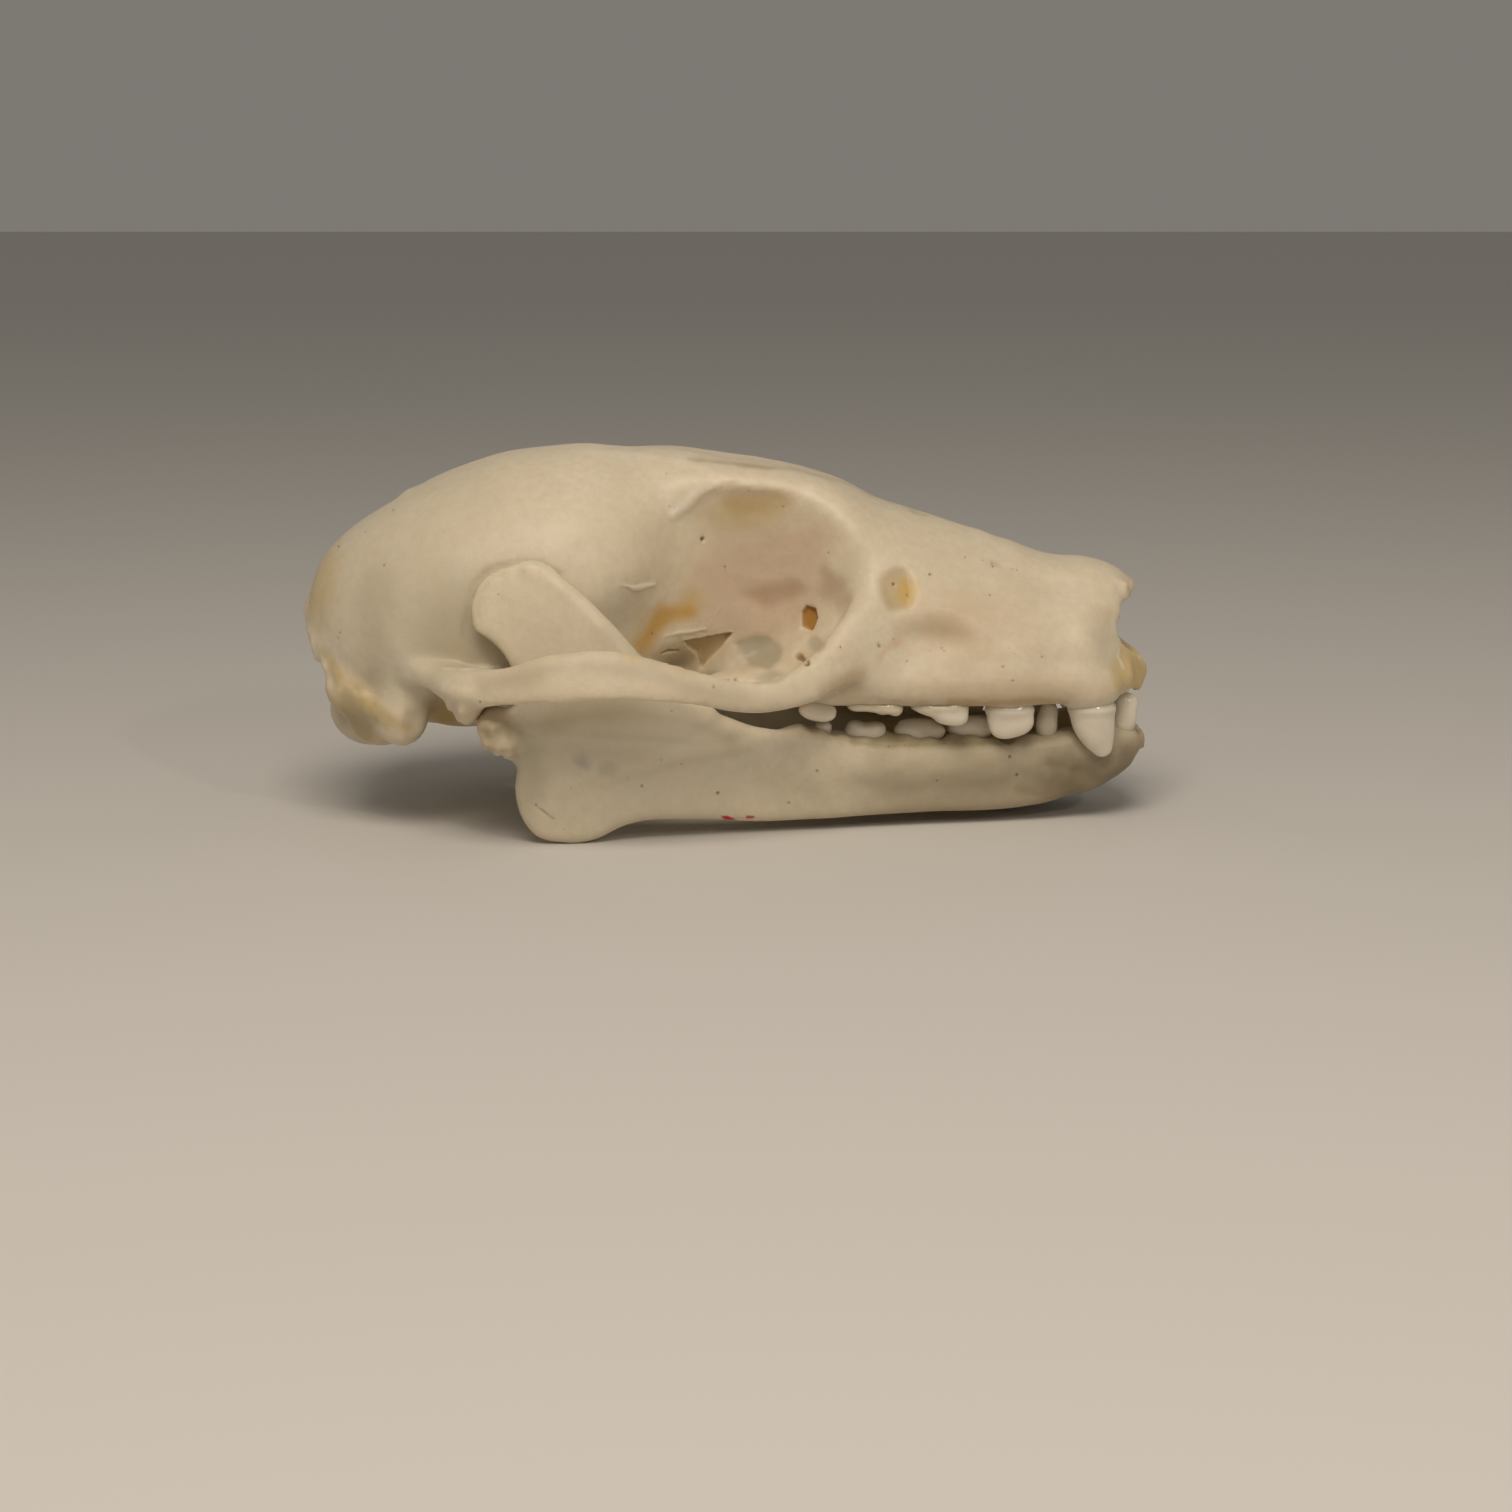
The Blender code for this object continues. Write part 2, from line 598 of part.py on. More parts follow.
def resting_plane(group):
    """A block under z = 0 that flattens the chin and the two angles where the skull stands on them."""
    bm = bmesh.new()
    bmesh.ops.create_cube(bm, size=1, matrix=Matrix.Diagonal((60 * MM, 40 * MM, 2 * MM, 1)))
    bmesh.ops.translate(bm, vec=(0, 0, -1 * MM), verts=bm.verts)
    mesh = bpy.data.meshes.new("resting_plane")
    bm.to_mesh(mesh)
    bm.free()
    return add_object("resting_plane", mesh, group)


def tooth_rings(back, front, middle, width, neck, tip_x, tip_z, side):
    """Rings of a crown, from its neck to its blunt tip."""
    centre, half = (back + front) / 2, (front - back) / 2
    rings = []
    for rise, size, pull in CROWN_LEVELS:
        x = centre + (tip_x - centre) * pull
        z = neck + (tip_z - neck) * rise
        rings.append([
            (x + math.cos(a) * half * size, side * (middle + math.sin(a) * width / 2 * size), z)
            for a in (2 * math.pi * p / CROWN_POINTS for p in range(CROWN_POINTS))
        ])
    return rings


def root_rings(x, middle, neck, up, radius, side, grow):
    """Rings of a tapering root, from inside the crown into the bone. Up is 1, or -1 in the lower jaw."""
    rings = []
    for level, size in ROOT_LEVELS:
        reach = radius * size + grow
        z = neck + up * (level * ROOT_DEPTH + (grow if level > 0 else 0))
        rings.append([
            (x + math.cos(a) * reach, side * (middle + math.sin(a) * reach), z)
            for a in (2 * math.pi * p / ROOT_POINTS for p in range(ROOT_POINTS))
        ])
    return rings


def tooth(name, numbers, side, group, sockets):
    """A crown on one or two roots, and the socket cutter that leaves CLEARANCE round the roots."""
    back, front, middle, width, neck, tip_x, tip_z, roots = numbers
    up = 1 if tip_z < neck else -1
    length = front - back
    radius = min(0.55, 0.4 * width, length * (0.21 if roots == 2 else 0.38))
    root_middle = middle - 0.1
    places = ((back + front) / 2,) if roots == 1 else (back + 0.28 * length, front - 0.28 * length)
    rings = tooth_rings(back, front, middle, width, neck, tip_x, tip_z, side)
    crown = loft(name, rings, group)
    root_group = collection("roots_of_" + name, helper=True)
    for k, x in enumerate(places):
        loft(f"root_{k}_{name}", root_rings(x, root_middle, neck, up, radius, side, 0.0), root_group)
        socket = root_rings(x, root_middle, neck, up, radius, side, SOCKET_GROWTH)
        loft(f"socket_{k}_{name}", socket, sockets)
    boolean(crown, "UNION", root_group)
    return settled(crown)


def finished(obj, finish):
    obj.data.materials.clear()
    obj.data.materials.append(finish)
    obj.data.shade_smooth()


def main():
    clear_scene()
    skull_parts = collection("bat_skull")
    upper_sockets = collection("upper_sockets", helper=True)
    lower_sockets = collection("lower_sockets", helper=True)
    bone = material("dry_bone", BONE_COLOUR, 0.5)
    enamel = material("tooth_enamel", TOOTH_COLOUR, 0.3)
    for name, numbers in TEETH.items():
        sockets = upper_sockets if name.startswith("upper") else lower_sockets
        for side_name, side in SIDES.items():
            finished(tooth(f"{name}_{side_name}", numbers, side, skull_parts, sockets), enamel)
    finished(cranium(skull_parts, upper_sockets), bone)
    finished(lower_jaw(skull_parts, lower_sockets), bone)


main()
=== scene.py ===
# %% [markdown]
# # A fruit bat's skull
#
# This lesson models one small dry skull, about 41 mm long, as it lies on its lower jaw. It shows
# how to sculpt in code: soft forms are blended in a block of numbers, the block becomes a mesh, and
# brush strokes along the mesh add the marks that make bone look like bone.
#
# Lengths are written in millimetres, because that is how a skull is measured, and are turned into
# metres only when a mesh is made. +X points along the snout, +Y to the animal's left and +Z up.

# %% Load the fixed frame
import math
from collections import namedtuple

import bmesh
import bpy
import numpy as np
import openvdb
from mathutils import Euler, Matrix, Vector
from mathutils.bvhtree import BVHTree


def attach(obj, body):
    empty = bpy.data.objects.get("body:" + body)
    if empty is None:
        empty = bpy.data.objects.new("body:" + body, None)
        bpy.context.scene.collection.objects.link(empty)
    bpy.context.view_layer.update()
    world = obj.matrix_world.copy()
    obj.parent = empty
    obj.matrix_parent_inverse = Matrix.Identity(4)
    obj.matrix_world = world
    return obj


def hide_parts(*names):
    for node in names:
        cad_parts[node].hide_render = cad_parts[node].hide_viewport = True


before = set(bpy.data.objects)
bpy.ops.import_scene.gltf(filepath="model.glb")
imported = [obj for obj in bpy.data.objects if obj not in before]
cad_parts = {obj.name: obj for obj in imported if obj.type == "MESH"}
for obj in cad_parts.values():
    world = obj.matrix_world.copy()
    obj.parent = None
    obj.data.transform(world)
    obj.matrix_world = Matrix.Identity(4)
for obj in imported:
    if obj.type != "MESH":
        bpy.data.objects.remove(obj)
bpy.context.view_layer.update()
MM = 0.001
print("nodes in the frame:", len(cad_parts))

# %% [markdown]
# ## Camera
#
# The photograph was taken from the animal's right, from a hand's breadth away and a little above
# the skull. At such a short distance perspective matters: the near cheek arch looks larger than the
# far one. So the distance and the width of view are set from real sizes, and the lens follows from
# them.

# %% Put the camera where the photograph was taken
VIEW_DISTANCE = 150.0
VIEW_RISE = math.radians(11)
VIEW_AIM = Vector((1.5, 0.0, 2.65))
HALF_VIEW_WIDTH = 37.8
SENSOR_WIDTH = 36.0
EYE = VIEW_AIM + Vector((0, -math.cos(VIEW_RISE), math.sin(VIEW_RISE))) * VIEW_DISTANCE

camera_data = bpy.data.cameras.new("camera")
camera_data.sensor_width = SENSOR_WIDTH
camera_data.lens = SENSOR_WIDTH / 2 * VIEW_DISTANCE / HALF_VIEW_WIDTH
camera_data.clip_start = 0.001
camera = bpy.data.objects.new("camera", camera_data)
bpy.context.scene.collection.objects.link(camera)
camera.location = EYE * MM
camera.rotation_euler = (math.pi / 2 - VIEW_RISE, 0, 0)
bpy.context.scene.camera = camera
print("lens in mm:", round(camera_data.lens, 1))

# %% [markdown]
# ## Clay: a block of distances
#
# Bone has no edges that a modeller could extrude. Its forms grow into each other, so it is sculpted
# in a block of small cells instead. Each cell stores its distance to the surface, and a cell inside
# the bone stores a number below zero. Two forms are joined by taking the smaller distance, and a
# form is cut away by taking the larger of one and the opposite of the other. A smooth version of
# smaller-of-two leaves a rounded fillet between the forms, which is what makes them look grown
# rather than glued.
#
# A skull is built alike on both sides, so the block holds only its left half, and is mirrored when
# that half is done.

# %% The block of clay
FAR = 4.0  # mm; a cell stores no distance beyond it
WAVES = 7
WAVES_HEIGHT = 2.6  # what that many waves, added up, seldom pass
MARGIN = 4  # blends; how far past a form the block is changed


def smooth_min(a, b, blend):
    """The smaller of two distances, with a fillet about as wide as blend where they meet."""
    overlap = np.maximum(blend - np.abs(a - b), 0.0)
    return np.minimum(a, b) - overlap * overlap * (0.25 / blend)


def lumps(x, y, z, grain, seed=1):
    """Lumps from crossing waves, between about -1 and 1 and some grain millimetres across."""
    random = np.random.default_rng(seed)
    total = 0
    for _ in range(WAVES):
        way = random.normal(size=3)
        way *= 2 * math.pi / (grain * random.uniform(1.2, 2.6) * np.linalg.norm(way))
        start = random.uniform(0, 2 * math.pi)
        total = total + np.sin(x * way[0] + y * way[1] + z * way[2] + start)
    return total / WAVES_HEIGHT


def from_run(a, b, x, y, z):
    """The nearest share of the run from a to b, and the way from there in x, y and z."""
    run = np.subtract(b, a)[:3]
    t = ((x - a[0]) * run[0] + (y - a[1]) * run[1] + (z - a[2]) * run[2]) / (run @ run)
    t = np.clip(t, 0, 1)
    return t, [g - a[k] - run[k] * t for k, g in enumerate((x, y, z))]


def distance_to_path(path, x, y, z):
    """Distance to a chain of straight runs between points."""
    nearest = np.float32(99)
    for a, b in zip(path, path[1:]):
        dx, dy, dz = from_run(a, b, x, y, z)[1]
        nearest = np.minimum(nearest, np.sqrt(dx ** 2 + dy ** 2 + dz ** 2))
    return nearest


class Clay:
    """A block of cells, each of which stores its distance to the surface."""

    def __init__(self, low, high, cell):
        self.cell = cell
        self.axes = [np.arange(a, b + cell, cell, dtype=np.float32) for a, b in zip(low, high)]
        self.field = np.full([len(axis) for axis in self.axes], FAR, np.float32)

    def window(self, low, high):
        """The part of the block between two corners, and the coordinates of its cells."""
        spans = tuple(slice(int(np.searchsorted(axis, a)), int(np.searchsorted(axis, b)) + 1)
                      for axis, a, b in zip(self.axes, low, high))
        return spans, np.ix_(*[axis[span] for axis, span in zip(self.axes, spans)])

    def around(self, form, blend):
        """The window round a form, and the form's distance function."""
        low, high, distance = form
        reach = MARGIN * blend
        return *self.window(np.array(low) - reach, np.array(high) + reach), distance

    def add(self, form, blend):
        """Joins a form to the clay, with a fillet about as wide as blend."""
        spans, places, distance = self.around(form, blend)
        self.field[spans] = smooth_min(self.field[spans], distance(*places), blend)

    def cut(self, form, blend, softness=None):
        """Cuts a form away. Softness, if given, scales the blend from place to place."""
        spans, places, distance = self.around(form, blend)
        width = blend * softness(*places) if softness else blend
        self.field[spans] = -smooth_min(-self.field[spans], distance(*places), width)

    def roughen(self, path, reach, grain, depth):
        """Makes the surface near a path uneven, as broken or spongy bone is."""
        low, high = np.min(path, axis=0) - reach, np.max(path, axis=0) + reach
        spans, places = self.window(low, high)
        gap = distance_to_path(path, *places)
        self.field[spans] += depth * lumps(*places, grain) * np.clip(2 - 2 * gap / reach, 0, 1)

    def uneven(self, grain, depth):
        """Makes the whole surface faintly uneven, as bone is to the touch."""
        self.field += depth * lumps(*np.ix_(*self.axes), grain)

    def both_sides(self):
        """Adds the right half, which mirrors the left."""
        self.field = np.concatenate([self.field[:, :0:-1], self.field], axis=1)
        self.axes[1] = np.concatenate([-self.axes[1][:0:-1], self.axes[1]])


# %% [markdown]
# ## Forms to sculpt with
#
# Three forms are enough for nearly everything. An egg is a ball, stretched and turned, and boxier
# if its power is over 2. A hull is a long form with a rounded section that changes from station to
# station, such as a snout. A bar is a bent rod, such as the cheek arch. Each one gives a box that
# it fits in and a function for its distance.

# %% Eggs, hulls and bars
def egg(centre, radii, turn=(0, 0, 0), power=2.0):
    """A ball with its own radius along each axis, turned by some degrees."""
    matrix = np.array(Euler([math.radians(t) for t in turn]).to_matrix())
    reach = max(radii)

    def distance(x, y, z):
        dx, dy, dz = x - centre[0], y - centre[1], z - centre[2]
        local = [np.abs(dx * matrix[0, k] + dy * matrix[1, k] + dz * matrix[2, k]) / radii[k] + 1e-6
                 for k in range(3)]
        size = sum(c ** power for c in local) ** (1 / power)
        slope = np.sqrt(sum((c ** (power - 1) / r) ** 2 for c, r in zip(local, radii)))
        return (size - 1) / (slope * size ** (1 - power))

    return [c - reach for c in centre], [c + reach for c in centre], distance


def eased(stations, count):
    """Reads a table at even steps along a smooth curve through all of its rows."""
    table = np.array(stations, float)
    lengths = np.linalg.norm(np.diff(table[:, :3], axis=0), axis=1)
    reached = np.append(0, np.cumsum(lengths))
    slopes = np.gradient(table, reached, axis=0)
    steps = np.linspace(0, reached[-1], count)
    i = np.clip(np.searchsorted(reached, steps) - 1, 0, len(table) - 2)
    span = lengths[i][:, None]
    t = (steps - reached[i])[:, None] / span
    from_start = (2 * t**3 - 3 * t**2 + 1) * table[i] + (t**3 - 2 * t**2 + t) * span * slopes[i]
    to_end = (3 * t**2 - 2 * t**3) * table[i + 1] + (t**3 - t**2) * span * slopes[i + 1]
    return from_start + to_end


def hull(stations, top_power=2.0, floor_power=2.0, grow=0.0, end_blend=0.6):
    """A form along X: x, floor, roof, half width and the height of the widest point."""
    rows = eased(stations, 80)
    rows = rows[np.argsort(rows[:, 0])]
    start, end = rows[0, 0] - grow, rows[-1, 0] + grow
    widest_half = rows[:, 3].max() + grow

    def distance(x, y, z):
        floor, roof, half, middle = [np.interp(x, rows[:, 0], rows[:, k]).astype(np.float32)
                                     for k in (1, 2, 3, 4)]
        above = z > middle
        reach = np.where(above, roof - middle, middle - floor) + grow
        power = np.where(above, top_power, floor_power).astype(np.float32)
        u = np.abs(y) / (half + grow) + 1e-6
        v = np.abs(z - middle) / reach + 1e-6
        size = (u ** power + v ** power) ** (1 / power)
        slope = np.sqrt((u ** (power - 1) / (half + grow)) ** 2 + (v ** (power - 1) / reach) ** 2)
        section = (size - 1) / (slope * size ** (1 - power))
        past_end = np.maximum(start - x, x - end)
        return -smooth_min(-section, -past_end, end_blend)

    low = (start, -widest_half, rows[:, 1].min() - grow)
    return low, (end, widest_half, rows[:, 2].max() + grow), distance


def bar(stations, steps=24, lean=0.0, power=2.0):
    """A bent rod: x, distance from the midline, z, height, thickness. Lean tips its top inward."""
    rows = eased(stations, steps)
    reach = rows[:, 3:].max() / 2

    def distance(x, y, z):
        nearest = np.float32(FAR)
        for a, b in zip(rows, rows[1:]):
            t, (dx, dy, dz) = from_run(a, b, x, y, z)
            height = a[3] + (b[3] - a[3]) * t
            thick = a[4] + (b[4] - a[4]) * t
            dy = dy + lean * dz
            dz = np.abs(dz) * thick / height
            across = np.sqrt(dx * dx + dy * dy)
            gap = (across ** power + dz ** power) ** (1 / power) - thick / 2
            nearest = np.minimum(nearest, gap)
        return nearest

    return rows[:, :3].min(0) - reach, rows[:, :3].max(0) + reach, distance


print("forms ready: egg, hull, bar")

# %% [markdown]
# ## The cranium's main forms
#
# The braincase is a thin egg-shaped shell. A beam runs forward from it between the eyes, spreads
# into the brow above the orbits and ends in the snout. The stations are measured from the side
# view, and the widths are those of this kind of bat. The solid model uses nearly the same numbers,
# so both have the same outline.
#
# Each station of a hull gives x, floor, roof, half width and the height of the widest point.

# %% Hulls of the cranium
BRAINCASE = (
    (-20.45, 9.2, 11.0, 1.3, 10.2), (-20.1, 8.0, 12.2, 3.0, 9.9), (-19.5, 7.2, 13.15, 4.2, 9.6),
    (-18.4, 6.1, 14.2, 5.6, 9.4), (-16.4, 5.4, 15.5, 6.9, 9.6), (-13.5, 5.1, 17.0, 7.9, 10.2),
    (-10.0, 5.2, 18.0, 8.2, 10.8), (-7.0, 5.5, 18.25, 7.9, 11.3), (-4.5, 6.1, 18.05, 6.7, 11.8),
    (-2.4, 7.2, 17.9, 5.0, 12.2), (-0.6, 8.2, 17.5, 3.9, 12.6), (0.8, 9.0, 17.1, 3.2, 12.8),
)
BROW = (
    (-6.0, 11.0, 16.9, 2.6, 14.6), (-3.4, 9.6, 17.6, 3.2, 15.2), (-1.6, 8.2, 17.8, 3.9, 16.1),
    (0.8, 7.6, 17.6, 4.1, 16.5), (3.0, 7.4, 17.3, 4.1, 16.1), (5.4, 7.3, 16.6, 4.3, 14.4),
    (7.4, 7.2, 15.6, 4.5, 12.1), (9.4, 7.2, 14.6, 4.0, 11.0), (12.0, 8.0, 13.3, 2.4, 10.5),
)
AIR_PASSAGE_WALLS = (
    (-5.8, 6.6, 10.0, 2.2, 8.4), (-3.0, 6.9, 12.0, 2.7, 8.8), (1.0, 7.0, 13.0, 2.8, 9.2),
    (4.5, 7.0, 13.0, 3.2, 9.2), (7.0, 7.0, 12.0, 3.6, 9.0),
)
SNOUT = (
    (0.4, 7.1, 8.2, 3.4, 7.6), (2.2, 6.9, 8.7, 5.3, 7.7), (3.8, 6.8, 9.8, 6.3, 7.9),
    (5.4, 6.7, 12.0, 6.6, 8.0), (7.2, 6.6, 14.6, 6.5, 8.1), (9.8, 6.4, 14.65, 6.15, 8.1),
    (12.9, 6.3, 13.8, 5.5, 8.0), (16.2, 6.3, 12.6, 4.75, 8.2), (17.8, 6.3, 12.4, 4.4, 8.3),
    (18.9, 6.6, 12.1, 3.7, 8.7), (19.5, 7.0, 11.7, 2.9, 9.0),
)
NASALS = (
    (14.0, 11.4, 13.2, 2.2, 12.2), (16.4, 11.0, 12.45, 2.2, 11.8), (17.8, 10.8, 12.5, 2.1, 11.6),
    (19.2, 10.3, 12.1, 1.9, 11.3), (19.9, 10.3, 11.7, 1.7, 11.2),
)
SKULL_BASE = (
    (-18.2, 5.0, 7.2, 2.2, 6.2), (-14.0, 4.4, 7.2, 2.2, 6.0), (-8.0, 5.0, 7.6, 2.0, 6.4),
    (-4.0, 6.2, 9.0, 1.6, 7.6), (-1.0, 7.4, 10.0, 1.6, 8.6),
)
print("the braincase is", 2 * max(row[3] for row in BRAINCASE), "mm wide")

# %% [markdown]
# Thin ridges and arches are bars. Each station of a bar gives x, the distance from the midline, z,
# the height and the thickness.

# %% Bars of the cranium
BROW_RIM = (
    (-2.2, 5.0, 15.25, 0.4, 0.5), (-1.0, 4.8, 15.95, 0.65, 0.85), (0.1, 4.35, 16.4, 0.65, 0.85),
    (1.5, 3.9, 16.45, 0.5, 0.7), (2.8, 3.5, 16.4, 0.3, 0.4),
)
UPPER_TOOTH_RIDGE = (
    (3.0, 5.8, 7.1, 1.8, 1.6), (5.4, 5.75, 7.1, 1.8, 1.7), (8.5, 5.6, 7.05, 1.8, 1.8),
    (11.6, 5.25, 7.0, 1.8, 1.8), (14.9, 4.65, 7.0, 1.8, 1.8), (17.8, 3.85, 7.0, 1.8, 1.9),
    (19.3, 2.7, 7.1, 1.6, 1.4),
)
CHEEK_ARCH = (
    (7.6, 5.0, 9.6, 3.4, 1.4), (6.2, 6.4, 9.2, 3.3, 1.3), (4.9, 7.7, 8.35, 2.3, 1.2),
    (3.6, 8.7, 7.65, 1.65, 1.05), (2.0, 9.7, 7.35, 1.5, 1.0), (0.5, 10.5, 7.5, 1.5, 0.95),
    (-1.0, 11.2, 7.9, 1.6, 0.85), (-2.6, 11.7, 8.35, 1.85, 0.8), (-4.3, 12.05, 8.65, 2.05, 0.75),
    (-6.0, 12.2, 8.75, 2.1, 0.75), (-7.8, 12.1, 8.55, 2.0, 0.8), (-9.5, 11.6, 8.15, 1.75, 0.9),
    (-11.2, 10.4, 7.95, 1.4, 1.2), (-12.8, 8.9, 7.95, 1.15, 1.3), (-14.6, 7.0, 8.1, 1.0, 1.1),
)
NAPE_CREST = (
    (-20.2, 0.0, 10.2, 0.5, 0.35), (-20.25, 1.5, 9.95, 0.5, 0.35), (-20.05, 3.0, 9.2, 0.5, 0.35),
    (-19.4, 4.3, 8.2, 0.5, 0.35), (-18.6, 5.3, 7.2, 0.5, 0.4), (-17.2, 6.0, 6.2, 0.7, 0.5),
    (-15.8, 6.35, 5.3, 0.9, 0.7),
)
PTERYGOID = (
    (1.0, 2.7, 7.9, 1.8, 0.9), (-2.0, 2.3, 7.3, 2.2, 0.7), (-4.4, 2.1, 6.5, 2.2, 0.6),
    (-5.6, 2.0, 5.7, 1.0, 0.6),
)
PREMAXILLA = (
    (18.4, 2.7, 8.3, 3.4, 1.0), (19.6, 2.0, 7.8, 2.8, 0.8), (20.35, 0.95, 7.1, 1.9, 0.7),
    (20.5, 0.0, 6.9, 1.6, 0.6),
)
print("the arches reach", max(row[1] for row in CHEEK_ARCH), "mm from the midline")

# %% [markdown]
# ## Carving the cranium
#
# The forms are joined first. Then the eye sockets, the room for the brain, the air passages and the
# throat are cut out with more eggs and hulls, as a carver would hollow a rough block. The cheek
# arch comes last, because it crosses the open space that the cuts have made.

# %% Rooms inside the cranium
WALL = 0.75
BRAIN_ROOM = BRAINCASE[2:-4]
NOSE_ROOM = (
    (0.0, 6.6, 8.8, 1.3, 7.6), (3.5, 7.9, 10.2, 1.6, 8.8), (7.0, 8.0, 13.2, 2.9, 10.0),
    (10.0, 8.0, 13.0, 3.7, 9.8), (14.0, 7.9, 12.2, 3.5, 9.6), (17.6, 7.9, 11.4, 2.9, 9.5),
    (22.0, 7.9, 10.9, 2.1, 9.4),
)
FRONT_BRAIN_ROOM = ((-6.0, 9.0, 16.2, 3.4, 13.0), (-3.0, 10.0, 16.4, 2.2, 13.4),
                    (0.0, 11.0, 16.2, 1.8, 13.8))
NOSE_OPENING = ((19.55, 8.7, 10.0, 4.2, 9.3), (20.3, 8.2, 10.4, 4.4, 9.3),
                (22.0, 7.6, 10.7, 4.4, 9.3))
THROAT = ((-6.2, 4.6, 6.6, 1.2, 5.5), (-4.0, 5.0, 7.4, 1.4, 6.2), (0.5, 6.0, 8.6, 1.4, 7.2))
PALATE_VAULT = ((1.5, 5.0, 6.9, 3.4, 6.0), (8.0, 5.0, 7.2, 3.9, 6.0), (14.0, 5.0, 7.0, 3.1, 6.0),
                (19.0, 5.0, 6.8, 2.0, 6.0))
print("the braincase wall is", WALL, "mm thick")

# %% Sculpt the left half of the cranium
CRANIUM_CELL = 0.2
ORBIT_CENTRE = (1.35, 8.3, 12.8)
RIM_ANGLES = (-180, -110, -40, -20, 15, 45, 70, 85, 125, 150, 180)
RIM_SOFTNESS = (0.7, 0.4, 0.12, 0.12, 0.75, 0.95, 0.95, 0.9, 0.6, 0.8, 0.7)


def orbit_edge(x, y, z):
    """The eye socket's rim is sharp above and below, and rolls softly into the snout in front."""
    dx, dz = x - ORBIT_CENTRE[0], z - ORBIT_CENTRE[2]
    on_rim = np.interp(np.degrees(np.arctan2(dz, dx)), RIM_ANGLES, RIM_SOFTNESS)
    outward = np.clip(np.hypot(dx, dz) / 2 - 1, 0, 1)
    return (0.5 + (on_rim - 0.5) * outward).astype(np.float32)


cranium_clay = Clay((-22.0, 0.0, 2.6), (21.6, 13.6, 19.4), CRANIUM_CELL)
for form, blend in (
    (hull(BRAINCASE, 2.1, 2.6, grow=-0.05), 0.5),
    (hull(BROW, 2.4, 2.0), 1.4),
    (hull(SNOUT, 1.75, 3.4), 1.2),
    (hull(NASALS, 2.2, 2.2), 0.8),
    (hull(AIR_PASSAGE_WALLS, 3.0, 3.0), 1.0),
    (hull(SKULL_BASE), 1.2),
    (egg((-15.35, 0, 15.2), (0.55, 1.5, 0.75), (0, -20, 0)), 0.5),
    (egg((-15.2, 6.1, 6.1), (1.1, 0.9, 1.6)), 0.9),
    (egg((-16.6, 4.6, 5.3), (1.5, 1.2, 1.2)), 0.7),
    (egg((-17.9, 4.9, 6.7), (1.1, 0.9, 1.1), (0, 40, 0)), 0.7),
    (egg((-12.6, 3.9, 6.2), (2.6, 1.4, 1.3), (0, 0, -10)), 0.5),
    (egg((-11.6, 9.0, 7.7), (1.7, 2.2, 0.65)), 0.6),
    (egg((-12.0, 9.2, 6.95), (0.75, 1.5, 0.9)), 0.6),
    (egg((17.6, 3.7, 7.5), (1.1, 0.8, 1.8), (0, -14, 0)), 1.2),
    (egg((13.8, 4.9, 7.4), (0.9, 0.5, 1.3)), 1.0),
    (bar(PTERYGOID), 0.4),
    (bar(BROW_RIM), 1.3),
    (bar(UPPER_TOOTH_RIDGE), 0.6),
    (bar(NAPE_CREST), 1.1),
    (bar(PREMAXILLA), 0.6),
):
    cranium_clay.add(form, blend)

cranium_clay.cut(egg(ORBIT_CENTRE, (4.35, 5.4, 4.7), power=2.6), 2.6, orbit_edge)
for hollow, blend in (
    (egg((-1.4, 9.2, 9.7), (4.6, 4.7, 3.4)), 1.6),
    (egg((9.9, 7.2, 9.5), (2.4, 1.45, 0.9), (0, 0, -12)), 1.4),
    (egg((19.5, 4.6, 9.5), (1.2, 1.3, 1.7)), 1.4),
    (egg((4.0, 0, 19.1), (9.0, 1.9, 1.75), (0, 7, 0)), 1.2),
    (egg((-13.4, 7.6, 6.3), (0.8, 1.9, 0.9)), 0.4),
    (hull(BRAIN_ROOM, 2.1, 2.6, grow=-WALL), 0.3),
    (hull(FRONT_BRAIN_ROOM), 0.4),
    (hull(NOSE_ROOM), 0.3),
    (hull(NOSE_OPENING), 0.5),
    (egg((-19.0, 0, 7.0), (2.6, 1.9, 1.85), (0, -10, 0)), 0.4),
    (egg((-14.6, 8.6, 5.6), (0.9, 2.0, 1.0)), 0.5),
    (hull(THROAT), 0.3),
    (hull(PALATE_VAULT), 0.5),
):
    cranium_clay.cut(hollow, blend)
cranium_clay.add(egg((-17.35, 3.0, 5.5), (1.95, 1.3, 1.75), (-12, 8, 0)), 0.7)
cranium_clay.add(egg((17.75, 3.85, 6.5), (1.25, 1.0, 0.7), (0, -14, 0)), 0.8)
cranium_clay.add(egg((1.6, 4.3, 7.1), (2.8, 1.5, 0.7)), 0.6)
cranium_clay.add(bar(CHEEK_ARCH, 90, lean=0.3, power=3.0), 0.8)
cranium_clay.both_sides()
print("cranium cells:", cranium_clay.field.size)

# %% [markdown]
# Real bone is never quite even, and where muscles held or a thin edge broke off it is spongy. So
# the whole surface gets faint lumps, and rough patches follow the crest of the nape, the tip of the
# nose, the front of the palate and the hinge. A mesh could be roughened too, but only in the block
# of clay can the lumps overhang and join.

# %% Roughen the cranium
NAPE = [station[:3] for station in NAPE_CREST]
